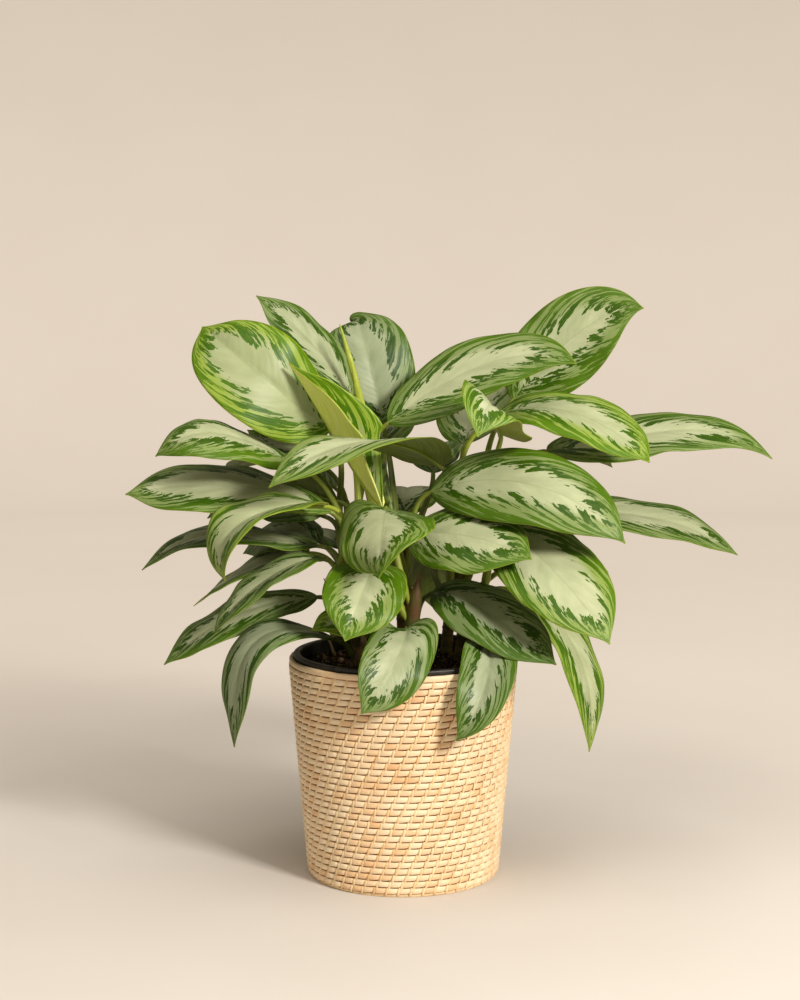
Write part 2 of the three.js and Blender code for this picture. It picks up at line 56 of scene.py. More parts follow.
# %% The camera, at the picture's place and angle
CAMERA_DISTANCE = 2.22
CAMERA_HEIGHT = 0.67
CAMERA_ASIDE = -0.0038
CAMERA_PITCH = math.radians(5.7)
CAMERA_LENS = 67.68

camera = bpy.data.objects.new("camera", bpy.data.cameras.new("camera"))
camera.data.lens = CAMERA_LENS
camera.location = (CAMERA_ASIDE, -CAMERA_DISTANCE, CAMERA_HEIGHT)
camera.rotation_euler = (math.radians(90) - CAMERA_PITCH, 0, 0)
bpy.context.scene.collection.objects.link(camera)
bpy.context.scene.camera = camera
print("camera", CAMERA_DISTANCE, "m away, lens", CAMERA_LENS, "mm")

# %% [markdown]
# ## A short way to write a finish
#
# Every finish here is a small tree of nodes that ends in one Principled shader. Written out in full,
# each node takes five lines, and the idea behind the finish gets lost. A small class that adds a node,
# feeds it and hands back its output keeps each finish as short as its recipe.

# %% Colours, and a class for finishes
def tone(red, green, blue):
    """A colour as a picture shows it, from 0 to 255, turned into the linear values that a shader takes."""
    shares = [value / 255 for value in (red, green, blue)]
    return tuple(c / 12.92 if c <= 0.04045 else ((c + 0.055) / 1.055) ** 2.4 for c in shares) + (1,)


class Finish:
    """A material's nodes. Each method adds one node, feeds it, and returns its output socket."""

    def __init__(self, name, **fixed):
        self.material = bpy.data.materials.new(name)
        self.material.use_nodes = True
        self.tree = self.material.node_tree
        self.shader = self.tree.nodes["Principled BSDF"]
        for words, value in fixed.items():
            self.shader.inputs[words.replace("_", " ")].default_value = value

    def node(self, kind, feeds, **settings):
        made = self.tree.nodes.new("ShaderNode" + kind)
        for setting, value in settings.items():
            setattr(made, setting, value)
        for place, value in feeds.items():
            if isinstance(value, bpy.types.NodeSocket):
                self.tree.links.new(value, made.inputs[place])
            else:
                made.inputs[place].default_value = value
        return made

    def math(self, operation, *values):
        return self.node("Math", dict(enumerate(values)), operation=operation).outputs[0]

    def times(self, first, second):
        return self.math("MULTIPLY", first, second)

    def add_times(self, first, second, third):
        """first times second, plus third."""
        return self.math("MULTIPLY_ADD", first, second, third)

    def minus(self, first, second):
        return self.math("SUBTRACT", first, second)

    def object_place(self):
        return self.node("TexCoord", {}).outputs["Object"]

    def sheet_place(self):
        """The two values of the piece's own UV map: along it and across it."""
        return self.parts_of(self.node("UVMap", {}).outputs[0])[:2]

    def attribute(self, name):
        return self.node("Attribute", {}, attribute_name=name).outputs["Fac"]

    def parts_of(self, vector):
        return self.node("SeparateXYZ", {0: vector}).outputs

    def vector(self, x, y, z):
        return self.node("CombineXYZ", {0: x, 1: y, 2: z}).outputs[0]

    def stretched(self, vector, scale):
        return self.node("Mapping", {"Vector": vector, "Scale": scale}).outputs[0]

    def noise(self, vector, scale, detail=2, roughness=0.5):
        feeds = {"Vector": vector, "Scale": scale, "Detail": detail, "Roughness": roughness}
        return self.node("TexNoise", feeds).outputs[0]

    def cells(self, vector, scale):
        return self.node("TexVoronoi", {"Vector": vector, "Scale": scale}).outputs["Color"]

    def band(self, value, low, high):
        """0 below low, 1 above high, and a smooth step between them."""
        feeds = {"Value": value, "From Min": low, "From Max": high}
        return self.node("MapRange", feeds, interpolation_type="SMOOTHSTEP").outputs[0]

    def ramp(self, value, stops):
        """Colours, or plain numbers as greys, at stops along a value from 0 to 1."""
        made = self.node("ValToRGB", {0: value})
        points = made.color_ramp.elements
        while len(points) < len(stops):
            points.new(0.5)
        for point, (place, colour) in zip(points, stops):
            point.position = place
            point.color = colour if isinstance(colour, tuple) else (colour, colour, colour, 1)
        return made.outputs[0]

    def tones(self, value, *stops):
        """A ramp whose stops are written as (place, red, green, blue), with colours from 0 to 255."""
        return self.ramp(value, [(place, tone(*colour)) for place, *colour in stops])

    def mix(self, share, first, second):
        return self.node("Mix", {0: share, 6: first, 7: second}, data_type="RGBA").outputs[2]

    def bump(self, height, distance):
        return self.node("Bump", {"Height": height, "Distance": distance}).outputs[0]

    def paint(self, **sockets):
        for words, value in sockets.items():
            self.tree.links.new(value, self.shader.inputs[words.replace("_", " ")])
        return self.material


print("a finish is made of:", ", ".join(name for name in vars(Finish) if not name.startswith("_")))

# %% [markdown]
# ## From a bmesh to a piece
#
# A piece is a mesh object at the origin, with its place in its mesh. It rides with the plant's one body,
# takes its materials, and hides the packed nodes that it stands for. These lines are the same for every
# piece, so they are written once.

# %% Finish off a piece
def mesh_object(bm, name, materials):
    """A smooth-shaded object at the origin, made from a bmesh that isn't needed afterwards."""
    mesh = bpy.data.meshes.new(name)
    bm.to_mesh(mesh)
    bm.free()
    for material in materials:
        mesh.materials.append(material)
    for polygon in mesh.polygons:
        polygon.use_smooth = True
    made = bpy.data.objects.new(name, mesh)
    bpy.context.scene.collection.objects.link(made)
    return made


def finished(bm, name, materials, nodes=()):
    """A bmesh becomes a piece that rides with the plant and stands for its nodes."""
    piece = mesh_object(bm, name, materials)
    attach(piece, "root")
    if nodes:
        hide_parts(*nodes)
    return piece


# %% [markdown]
# ## Sheets and bars
#
# A leaf is a sheet, and a stalk or a cane is a round bar that follows a bent route. Both start as a flat
# grid. A formula moves its points, and for a bar the grid is rolled up and its seam is merged. A curve
# with a bevel would make a bar too, but its thickness could not change with the angle round it, and a
# sheath or a rolled leaf needs that.

# %% Grids, and values that pass smoothly into each other
MERGE = 1e-6


def placed_grid(bm, steps, sides, place):
    """A flat grid whose points are moved to place(along, across), both from 0 to 1."""
    made = bmesh.ops.create_grid(bm, x_segments=steps, y_segments=sides, size=1, calc_uvs=True)
    verts = made["verts"]
    for vertex in verts:
        vertex.co = place((vertex.co.x + 1) / 2, (vertex.co.y + 1) / 2)
    return verts


def faces_of(verts):
    """Every face at these points once, always in the same order."""
    return list(dict.fromkeys(face for vertex in verts for face in vertex.link_faces))


def rolled_grid(bm, steps, sides, place, material=0):
    """A grid rolled into a closed tube. Its seam is merged, and so is an end whose ring has no radius."""
    verts = placed_grid(bm, steps, sides, place)
    faces = faces_of(verts)
    bmesh.ops.remove_doubles(bm, verts=verts, dist=MERGE)
    faces = [face for face in faces if face.is_valid]
    bmesh.ops.recalc_face_normals(bm, faces=faces)
    for face in faces:
        face.material_index = material


def lerp(first, second, share):
    return first + (second - first) * share


def eased(value, low, high):
    """0 below low, 1 above high, and a smooth step between them."""
    share = min(max((value - low) / (high - low), 0), 1)
    return share * share * (3 - 2 * share)


print("halfway from 0 to 1, a smooth step has come to", eased(0.5, 0, 1))


# %% A route, and a bar along it
class Way:
    """A route through many close points, which gives a place and a direction at any share of its length."""

    def __init__(self, points):
        self.points = points
        self.lengths = [0]
        for first, second in zip(points, points[1:]):
            self.lengths.append(self.lengths[-1] + (second - first).length)

    def at(self, share):
        goal = min(max(share, 0), 1) * self.lengths[-1]
        low, high = 0, len(self.lengths) - 1
        while high - low > 1:
            middle = (low + high) // 2
            low, high = (middle, high) if self.lengths[middle] <= goal else (low, middle)
        part = (goal - self.lengths[low]) / (self.lengths[high] - self.lengths[low])
        return self.points[low].lerp(self.points[high], part)

    def along(self, share, step=0.004):
        return (self.at(share + step) - self.at(share - step)).normalized()

    def frames(self, steps, up):
        """A place, a side and an upper direction at each step, carried along without a twist."""
        made = []
        for step in range(steps + 1):
            along = self.along(step / steps)
            up = (up - along * up.dot(along)).normalized()
            made.append((self.at(step / steps), along.cross(up), up))
        return made


TO_THE_FRONT = Vector((0, -1, 0))


def add_bar(bm, way, steps, sides, radius_at, up=TO_THE_FRONT, material=0):
    """A round bar along a way. radius_at(share, angle) gives its thickness, and its ends are closed."""
    frames = way.frames(steps, up)

    def place(along, around):
        centre, side, upper = frames[round(along * steps)]
        angle = around * math.tau
        out = side * math.cos(angle) + upper * math.sin(angle)
        closed = 0 if along in (0, 1) else 1
        return centre + out * radius_at(along, angle) * closed

    rolled_grid(bm, steps, sides, place, material)


straight = Way([Vector((0, 0, height / 10)) for height in range(11)])
print("the middle of a way one metre up lies at", [round(value, 3) for value in straight.at(0.5)])

# %% [markdown]
# ## The basket's weave
#
# The basket is woven from flat split cane. Every row shows a ring of short, flat bricks of cane, and a
# narrow binder crosses the row between two bricks and slants down to the left. Each row is turned a
# little further than the one above, so the binders run down the wall like stairs. Under each brick a
# dark slit is left open, and it gives the wall its lines of shadow.
#
# A bump map would look right from the front, but flat along the outline and at the rim. Here each strip
# is real geometry with few faces: one brick and one binder are each shaped from a bevelled cube, and a
# loop puts a copy in every place of every row and bends it on to the wall.

# %% Basket sizes
BASKET_HEIGHT = 0.262
BASKET_TOP_RADIUS = 0.1365
BASKET_FOOT_RADIUS = 0.114
BASKET_WALL = 0.005
BAND_HEIGHT = 0.0075
FOOT_HEIGHT = 0.0035
ROWS = 32
BRICKS_PER_ROW = 50
ROW_TURN = 0.27
STRIP_BULGE = 0.0017
BINDER_WIDTH = 0.0030
BINDER_THICKNESS = 0.0013

ROW_HEIGHT = (BASKET_HEIGHT - BAND_HEIGHT - FOOT_HEIGHT) / ROWS
BRICK_ANGLE = math.tau / BRICKS_PER_ROW
BACK_DEPTH = STRIP_BULGE + BINDER_THICKNESS


def wall_radius(height):
    """The outside of the woven wall, where its strips are highest."""
    return lerp(BASKET_FOOT_RADIUS, BASKET_TOP_RADIUS, height / BASKET_HEIGHT)


def on_wall(angle, height, out):
    """A point of the wall: out is how far it stands proud of the strips' backs."""
    radius = wall_radius(height) - BACK_DEPTH + out
    return Vector((math.cos(angle) * radius, math.sin(angle) * radius, height))


print("cane rows", ROWS, "of", round(ROW_HEIGHT * 1000, 1), "mm, with", BRICKS_PER_ROW, "bricks each")

# %% One brick and one binder, as small pieces of strip
SLIT = 0.0011
BRICK_STRIP = 0.0026
BINDER_STRIP = 0.0016
STRIP_CUTS = 4


def lengthwise_edges(bm):
    return [edge for edge in bm.edges if abs((edge.verts[0].co - edge.verts[1].co).x) > 0.5]


def strip_mesh(name, width, thickness, bevel):
    """A flat strip one unit long: a cube stretched to size, bevelled along its edges, and cut across."""
    bm = bmesh.new()
    cube = bmesh.ops.create_cube(bm, size=1)
    bmesh.ops.scale(bm, vec=(1, width, thickness), verts=cube["verts"])
    bmesh.ops.bevel(
        bm, geom=lengthwise_edges(bm), offset=bevel, offset_type="OFFSET", segments=1, profile=0.5,
        affect="EDGES", material=-1,
    )
    bmesh.ops.subdivide_edges(bm, edges=lengthwise_edges(bm), cuts=STRIP_CUTS, use_grid_fill=True)
    mesh = bpy.data.meshes.new(name)
    bm.to_mesh(mesh)
    bm.free()
    return mesh


brick_mesh = strip_mesh("brick", ROW_HEIGHT - SLIT, BRICK_STRIP, 0.0008)
binder_mesh = strip_mesh("binder", BINDER_WIDTH, BINDER_STRIP, 0.0006)
print("a brick has", len(brick_mesh.polygons), "faces and a binder", len(binder_mesh.polygons))

# %% [markdown]
# ## How a strip lies on the wall
#
# Cane is springy. A brick bulges between the two binders that hold it and dips under them, deeper on its
# right, where the next binder presses it down. Its lower edge stands out a little over the row below. A
# binder lies on top, wraps the row and tucks in at both ends. Two short formulas say this, and chance
# shifts, lifts and tilts each strip by a hair, because a wall without it looks printed.

# %% Bend a brick and a binder on to the wall
BRICK_LIFT = 0.0019
BRICK_BULGE = 0.0006
BRICK_DIP_LEFT = 0.0004
BRICK_DIP_MORE_RIGHT = 0.0010
BRICK_LOWER_EDGE_OUT = 0.0006
BRICK_NARROWING = 0.16
BRICK_RISE = 0.0003
BRICK_LENGTH = 0.99
BINDER_LIFT = 0.0031
BINDER_TUCK = 0.0016
BINDER_DROP = 0.0009
BINDER_ROWS = 1.3
BINDER_LEAN = 0.13


def brick_point(x, y, z, angle, height):
    """A brick bulges in its middle and leans as the binders do. Its right end is narrow and dips deepest."""
    dip = abs(2 * x) ** 3
    right = 0.5 + x
    up = y / ROW_HEIGHT
    out = BRICK_LIFT + z + BRICK_BULGE * (1 - dip) + BRICK_LOWER_EDGE_OUT * (0.5 - up)
    out -= (BRICK_DIP_LEFT + BRICK_DIP_MORE_RIGHT * right) * dip
    narrow = 1 - BRICK_NARROWING * right**2
    around = angle + (x * BRICK_LENGTH + up * BINDER_LEAN) * BRICK_ANGLE
    return on_wall(around, height + y * narrow + BRICK_RISE * right, out)


def binder_point(x, y, z, angle, height):
    """A binder stands across the row, leans to the right at its top, and tucks in at both ends."""
    rows = x * BINDER_ROWS
    out = BINDER_LIFT + z - BINDER_TUCK * abs(2 * x) ** 3
    around = angle + (0.5 + rows * BINDER_LEAN) * BRICK_ANGLE + y / wall_radius(height)
    return on_wall(around, height + rows * ROW_HEIGHT - BINDER_DROP, out)


print("a brick's middle stands", round((BRICK_LIFT + BRICK_BULGE) * 1000, 1), "mm proud of its back")

# %% Weave: a copy of a strip in every place of every row
SHIFT_BY_CHANCE = 0.03
LIFT_BY_CHANCE = 0.0002
TILT_BY_CHANCE = 0.0005
weave_draw = random.Random(5)


def add_strip(bm, strip, tones, place):
    """A copy of a strip, each point moved by place(x, y, z), with one random tone for the whole strip."""
    start = len(bm.verts)
    bm.from_mesh(strip)
    bm.verts.ensure_lookup_table()
    shade = weave_draw.random()
    for vertex in bm.verts[start:]:
        vertex.co = place(*vertex.co)
        vertex[tones] = shade


def weave(name, strip, shape, material):
    """A strip in every place of every row. shape(x, y, z, angle, height) puts one point on the wall."""
    bm = bmesh.new()
    tones = bm.verts.layers.float.new("strip_tone")
    for row in range(ROWS):
        height = BASKET_HEIGHT - BAND_HEIGHT - (row + 0.5) * ROW_HEIGHT
        for brick in range(BRICKS_PER_ROW):
            shift = weave_draw.uniform(-SHIFT_BY_CHANCE, SHIFT_BY_CHANCE)
            angle = (brick - row * ROW_TURN + shift) * BRICK_ANGLE
            lift = weave_draw.uniform(-LIFT_BY_CHANCE, LIFT_BY_CHANCE)
            tilt = weave_draw.uniform(-TILT_BY_CHANCE, TILT_BY_CHANCE)
            add_strip(bm, strip, tones, lambda x, y, z: shape(x, y, z + lift, angle, height + tilt * x))
    finished(bm, name, [material])


print("each row is turned", round(ROW_TURN * 360 / BRICKS_PER_ROW, 1), "degrees further than the one above")

# %% [markdown]
# ## The finish of split cane
#
# Split cane shows fine lines along its length, a faint satin shine, and a tone that differs from strip to
# strip, from straw to warm tan. Each strip carries its own random tone in its mesh, so the finish can add
# that to the fine lines and to broad blotches. One noise for all would run across the strips and give
# away that they are one mesh.

# %% Paint the cane, and weave the wall
CANE_LINES = (60, 1, 2600)
CANE_UNROLLED_RADIUS = 0.13


def split_cane_finish(name, dark, light):
    """Fine lines along each strip, a tone of its own for each strip, and broad blotches."""
    finish = Finish(name, Roughness=0.36)
    place = finish.object_place()
    x, y, z = finish.parts_of(place)[:3]
    around = finish.times(finish.math("ARCTAN2", y, x), CANE_UNROLLED_RADIUS)
    lines = finish.noise(finish.stretched(finish.vector(around, 0, z), CANE_LINES), 1, 3)
    blotches = finish.noise(place, 16, 3)
    own = finish.attribute("strip_tone")
    share = finish.add_times(own, 0.35, finish.times(lines, 0.5))
    share = finish.add_times(blotches, 0.5, finish.minus(share, 0.17))
    middle = lerp(Vector(dark), Vector(light), 0.7)
    colour = finish.ramp(share, [(0.12, dark), (0.5, middle[:]), (0.85, light)])
    return finish.paint(Base_Color=colour, Normal=finish.bump(lines, 0.00025))


brick_cane = split_cane_finish("brick_cane", tone(228, 166, 98), tone(253, 234, 198))
binder_cane = split_cane_finish("binder_cane", tone(222, 168, 98), tone(252, 230, 186))
weave("basket_bricks", brick_mesh, brick_point, brick_cane)
weave("basket_binders", binder_mesh, binder_point, binder_cane)
print("woven strips:", ROWS * BRICKS_PER_ROW * 2)

# %% [markdown]
# ## The basket's body, its rim and its foot
#
# Behind the strips the wall is closed, with a floor, a bound rim and a plain foot band. Its warm tan is
# partly painted bounce light from the slits. All of it is one profile turned about the axis, which is how
# a round wall is made quickest. The two bands are a little wavy, as bent cane is, so a formula moves the
# turned points afterwards.

# %% Turn a profile into a round piece
def turned(bm, profile, sides=144):
    """Spin a profile of (radius, height) pairs about the Z axis. Points on the axis close it."""
    points = [bm.verts.new((radius, 0, height)) for radius, height in profile]
    edges = [bm.edges.new(pair) for pair in zip(points, points[1:])]
    bmesh.ops.spin(
        bm, geom=points + edges, cent=(0, 0, 0), axis=(0, 0, 1), angle=math.tau, steps=sides,
        use_merge=True,
    )
    bmesh.ops.remove_doubles(bm, verts=bm.verts[:], dist=MERGE)
    bmesh.ops.recalc_face_normals(bm, faces=bm.faces[:])


def arc(centre, radius, start, end, steps):
    """Points of a round corner of a profile, with angles in degrees."""
    angles = [math.radians(lerp(start, end, step / steps)) for step in range(steps + 1)]
    return [(centre[0] + radius * math.cos(a), centre[1] + radius * math.sin(a)) for a in angles]


print("a quarter round in three steps has", len(arc((0, 0), 1, 0, 90, 3)), "points")

# %% The wall behind the weave, with the basket's floor
FLOOR_UNDERSIDE = 0.0006
FLOOR_INSET = 0.006
WALL_START = 0.002
back_top = BASKET_HEIGHT - BAND_HEIGHT
inner_top = BASKET_TOP_RADIUS - BASKET_WALL
inner_foot = BASKET_FOOT_RADIUS - BASKET_WALL


def wall_back_finish():
    """Cane in the shade behind the strips, with short fibres. Its warm orange-tan is partly painted bounce
    light, lighter than cane in that shade.
    """
    finish = Finish("basket_back", Roughness=0.7)
    fibres = finish.noise(finish.stretched(finish.object_place(), (300, 300, 1500)), 1, 3)
    # these tones are lighter and more orange than shaded cane: painted bounce light between the strips
    colour = finish.tones(fibres, (0.3, 168, 102, 42), (0.7, 204, 140, 72))
    return finish.paint(Base_Color=colour, Normal=finish.bump(fibres, 0.0004))


bm = bmesh.new()
turned(bm, [
    (0, FLOOR_UNDERSIDE),
    (BASKET_FOOT_RADIUS - FLOOR_INSET, FLOOR_UNDERSIDE),
    (wall_radius(WALL_START) - BACK_DEPTH, WALL_START),
    (wall_radius(back_top) - BACK_DEPTH, back_top),
    (inner_top + 0.0008, BASKET_HEIGHT - 0.002),
    (inner_top, BASKET_HEIGHT - 0.003),
    (inner_foot, BASKET_WALL),
    (0, BASKET_WALL),
])
finished(bm, "basket_shell", [wall_back_finish()], ["basket"])
print("the basket's floor lies", BASKET_WALL, "m up")

# %% The rim band and the foot band
BAND_SIDES = 240
BAND_TONE = 0.45
RIPPLES = 9
RIPPLE_UP = 0.0005
RIPPLE_OUT = 0.002


def cane_band(name, profile, seed, material):
    """A closed band of cane round the wall, with a slight wave along it."""
    bm = bmesh.new()
    turned(bm, profile + profile[:1], sides=BAND_SIDES)
    tones = bm.verts.layers.float.new("strip_tone")
    for vertex in bm.verts:
        angle = math.atan2(vertex.co.y, vertex.co.x)
        ripple = noise.noise(Vector((math.cos(angle) * RIPPLES, math.sin(angle) * RIPPLES, seed)))
        vertex.co.z += ripple * RIPPLE_UP
        vertex.co.xy *= 1 + ripple * RIPPLE_OUT
        vertex[tones] = BAND_TONE
    finished(bm, name, [material])


rim_out = BASKET_TOP_RADIUS - 0.0004
rim_low = back_top + 0.0004
cane_band("basket_rim", (
    [(inner_top, rim_low), (wall_radius(rim_low) - 0.001, rim_low - 0.0002)]
    + arc((rim_out - 0.0012, rim_low + 0.0012), 0.0012, -60, 0, 2)
    + arc((rim_out - 0.0018, BASKET_HEIGHT - 0.0022), 0.0018, 0, 90, 4)
    + arc((inner_top + 0.0012, BASKET_HEIGHT - 0.0016), 0.0012, 90, 180, 3)
), 0, brick_cane)

foot_out = wall_radius(WALL_START) - 0.0012
foot_in = foot_out - 0.006
cane_band("basket_foot", (
    [(foot_in, 0.0004), (foot_out - 0.0035, 0)]
    + arc((foot_out - 0.0016, 0.0016), 0.0016, -90, 0, 3)
    + arc((foot_out - 0.0012, FOOT_HEIGHT - 0.001), 0.0012, 0, 90, 3)
    + [(foot_in, FOOT_HEIGHT + 0.0002)]
), 5, binder_cane)
print("basket", round(BASKET_TOP_RADIUS * 2, 3), "m across its rim")

# %% [markdown]
# ## The nursery pot
#
# The plant still stands in its thin black plastic pot. Only the rolled rim and the upper inside show.
# It is a turned profile too: the rim is a lip folded outwards and down, with round corners that catch
# a soft line of light. The plastic is dusty, so its roughness varies and its black isn't quite black.

# %% The nursery pot and its plastic
POT_TOP = 0.2673
POT_FLOOR = 0.0053
POT_RIM_RADIUS = 0.131
POT_RIM_WIDTH = 0.007
POT_RIM_DEPTH = 0.009
POT_RIM_ROUND = 0.0022
POT_BASE_RADIUS = 0.098
POT_BASE_ROUND = 0.003
POT_WALL = 0.0016
LIP_UNDERSIDE = 0.0035
pot_neck = POT_RIM_RADIUS - POT_RIM_WIDTH
pot_rim_foot = POT_TOP - POT_RIM_DEPTH


def plastic_finish():
    """Black plastic with dust on it, which is paler and duller than the plastic."""
    finish = Finish("pot_plastic", Specular_IOR_Level=0.4)
    dust = finish.noise(finish.object_place(), 55, 5, 0.65)
    colour = finish.tones(dust, (0.35, 24, 22, 21), (0.75, 66, 60, 54))
    rough = finish.ramp(dust, [(0.3, 0.32), (0.8, 0.62)])
    return finish.paint(Base_Color=colour, Roughness=rough, Normal=finish.bump(dust, 0.0002))


base_out = POT_BASE_RADIUS - POT_BASE_ROUND
base_up = POT_FLOOR + POT_BASE_ROUND
rim_up = POT_TOP - POT_RIM_ROUND
bm = bmesh.new()
turned(bm, (
    [(0, POT_FLOOR)]
    + arc((base_out, base_up), POT_BASE_ROUND, -90, -4, 4)
    + [(pot_neck, pot_rim_foot + LIP_UNDERSIDE), (POT_RIM_RADIUS - 0.0012, pot_rim_foot + LIP_UNDERSIDE)]
    + [(POT_RIM_RADIUS - 0.001, pot_rim_foot), (POT_RIM_RADIUS, pot_rim_foot)]
    + arc((POT_RIM_RADIUS - POT_RIM_ROUND, rim_up), POT_RIM_ROUND, 0, 90, 6)
    + arc((pot_neck + POT_RIM_ROUND - POT_WALL, rim_up - 0.0004), POT_RIM_ROUND, 90, 180, 6)
    + [(pot_neck - POT_WALL - 0.0004, pot_rim_foot)]
    + arc((base_out - POT_WALL, base_up + POT_WALL), POT_BASE_ROUND, -4, -90, 4)
    + [(0, POT_FLOOR + POT_WALL)]
))
finished(bm, "grow_pot", [plastic_finish()], ["nursery_pot"])
print("pot", POT_RIM_RADIUS * 2, "m across its rim")

# %% [markdown]
# ## The soil
#
# Potting soil is a crumbly peat mix with bits of bark and white perlite. A smooth disc with a bump map
# gives itself away where a stem goes in. So the surface is a grid bent round into a disc and raised by
# layered noise, and over a thousand small lumps with twenty faces each are strewn on it. Their sizes
# and places are drawn at random from a fixed seed, so every run gives the same soil.

# %% The height of the soil
SOIL_TOP = 0.2573
SOIL_CROWN = 0.003
SOIL_SINK = 0.002
SOIL_ROUGH = 0.0055
SOIL_SWELL = 0.003
wall_share = (SOIL_TOP - POT_FLOOR) / (pot_rim_foot - POT_FLOOR)
soil_radius = lerp(POT_BASE_RADIUS, pot_neck, wall_share) - 0.0022


def soil_height(x, y):
    """The soil is slightly crowned, hollow beside the pot's wall, and lumpy all over."""
    share = math.hypot(x, y) / soil_radius
    lumps = noise.turbulence(Vector((x, y, 0)) * 90, 3, False) - 0.45
    swell = noise.noise(Vector((x, y, 3)) * 22)
    return SOIL_TOP - SOIL_CROWN * share**2 - SOIL_SINK + SOIL_ROUGH * lumps + SOIL_SWELL * swell


def soil_point(along, around):
    angle = around * math.tau
    x = math.cos(angle) * soil_radius * along
    y = math.sin(angle) * soil_radius * along
    return Vector((x, y, soil_height(x, y)))


print("soil surface", round(soil_radius * 2, 3), "m across")


# %% The finishes of the soil and of the perlite
def soil_finish():
    """Damp peat in dark browns, with pale fibres. Each crumb also has a tone of its own."""
    finish = Finish("potting_soil", Roughness=0.95, Specular_IOR_Level=0.25)
    place = finish.object_place()
    fibres = finish.noise(place, 420, 6, 0.7)
    damp = finish.noise(place, 35, 2)
    share = finish.add_times(finish.attribute("crumb_tone"), 0.5, finish.times(fibres, 0.6))
    share = finish.add_times(damp, 0.25, finish.minus(share, 0.12))
    damp_tones = (0.25, 34, 24, 18), (0.5, 74, 54, 40)
    dry_tones = (0.72, 128, 98, 76), (0.9, 176, 148, 122)
    colour = finish.tones(share, *damp_tones, *dry_tones)
    return finish.paint(Base_Color=colour, Normal=finish.bump(fibres, 0.0012))


def perlite_finish():
    """Off-white, porous grains."""
    finish = Finish("perlite", Roughness=0.8)
    grain = finish.noise(finish.object_place(), 900, 4)
    colour = finish.tones(grain, (0.3, 176, 160, 142), (0.7, 236, 228, 214))
    return finish.paint(Base_Color=colour, Normal=finish.bump(grain, 0.0004))


soil_earth = soil_finish()
print("finishes so far:", len(bpy.data.materials))

# %% The soil's surface, with a skirt and an underside that close it
SOIL_RINGS = 70
SOIL_SIDES = 200
SOIL_DEPTH = 0.02
SURFACE_TONE = 0.2


def open_edges(bm):
    return [edge for edge in bm.edges if edge.is_boundary]


bm = bmesh.new()
crumb_tones = bm.verts.layers.float.new("crumb_tone")
rolled_grid(bm, SOIL_RINGS, SOIL_SIDES, soil_point)
for vertex in bm.verts:
    vertex[crumb_tones] = SURFACE_TONE
skirt = bmesh.ops.extrude_edge_only(bm, edges=open_edges(bm))["geom"]
skirt_verts = [part for part in skirt if isinstance(part, bmesh.types.BMVert)]
bmesh.ops.translate(bm, vec=(0, 0, -SOIL_DEPTH), verts=skirt_verts)
bmesh.ops.contextual_create(bm, geom=open_edges(bm))
bmesh.ops.recalc_face_normals(bm, faces=bm.faces[:])
print("soil surface with", len(bm.faces), "faces")
finished(bm, "soil_surface", [soil_earth], ["soil"])

# %% Crumbs and perlite on the soil
CRUMBS = 1500
PERLITE = 170
PERLITE_TONE = 0.5
STREWN_TO = 0.97
LUMP_SUNK = 0.25
LUMP_JAGGED = 0.18
crumb_draw = random.Random(11)


def strew(name, count, small, large, material, own_tone):
    """Small lumps scattered on the soil, most of them small, each turned, squashed and toned by chance."""
    bm = bmesh.new()
    tones = bm.verts.layers.float.new("crumb_tone")
    for _ in range(count):
        angle = crumb_draw.uniform(0, math.tau)
        away = soil_radius * STREWN_TO * math.sqrt(crumb_draw.random())
        x, y = math.cos(angle) * away, math.sin(angle) * away
        size = lerp(small, large, crumb_draw.random() ** 3)
        squash = Matrix.Diagonal((1, crumb_draw.uniform(0.5, 0.9), crumb_draw.uniform(0.4, 0.8), 1))
        turn = Matrix.Rotation(crumb_draw.uniform(0, math.tau), 4, "Z")
        tip = Matrix.Rotation(crumb_draw.uniform(-0.7, 0.7), 4, "X")
        place = Matrix.Translation((x, y, soil_height(x, y) + size * LUMP_SUNK)) @ turn @ tip @ squash
        lump = bmesh.ops.create_icosphere(bm, subdivisions=1, radius=size, matrix=place)
        shade = own_tone()
        for vertex in lump["verts"]:
            vertex[tones] = shade
            vertex.co += Vector([crumb_draw.uniform(-LUMP_JAGGED, LUMP_JAGGED) * size for _ in range(3)])
    finished(bm, name, [material])


strew("soil_crumbs", CRUMBS, 0.0009, 0.0048, soil_earth, lambda: crumb_draw.random() ** 1.5)
strew("soil_perlite", PERLITE, 0.0006, 0.0024, perlite_finish(), lambda: PERLITE_TONE)
print("crumbs", CRUMBS, "and perlite", PERLITE)

# %% [markdown]
# ## The canes
#
# An old aglaonema stands on short upright canes. Each is ringed with the scars of the leaves that it has
# dropped, and near its head it is wrapped in the sheaths of those it still has. A cane is a bar swept
# along a bent way. Its thickness is a formula of the place along it, with a small ridge at each scar.

# %% Where the canes stand, in millimetres
MM = 0.001
CANE_RADIUS = 7.5 * MM
CANE_ROOT_DEPTH = 0.060
CANE_UPRIGHT = 0.4

CANES = {
    "cane_left": ((-52, -22), (-84, -34, 345)),
    "cane_back_left": ((-50, 46), (-70, 64, 385)),
    "cane_front": ((6, -52), (16, -64, 352)),
    "cane_right": ((66, -4), (95, -10, 345)),
    "cane_back_right": ((52, 48), (76, 66, 385)),
    "cane_young": ((-30, -14), (-42, -14, 392)),
    "cane_middle": ((0, 6), (-4, 10, 400)),
}


def cane_way(name):
    """From the root under the soil, up through the foot, and out to the head."""
    (x, y), head = CANES[name]
    head = Vector(head) * MM
    foot = Vector((x * MM, y * MM, SOIL_TOP))
    root = foot - Vector((0, 0, CANE_ROOT_DEPTH))
    bend = Vector((foot.x, foot.y, lerp(foot.z, head.z, CANE_UPRIGHT)))
    return Way(geometry.interpolate_bezier(root, foot, bend, head, 80))


print("canes", len(CANES))

# %% Their bark, with a scar where each leaf stood
SCAR_SPACING = 0.013
SCAR_SLANT = 0.12
SCAR_SHIFT_PER_CANE = 0.3
SCAR_RIDGE = 0.12
BARK_BETWEEN = 0.94
HEAD_TAPER = 0.35


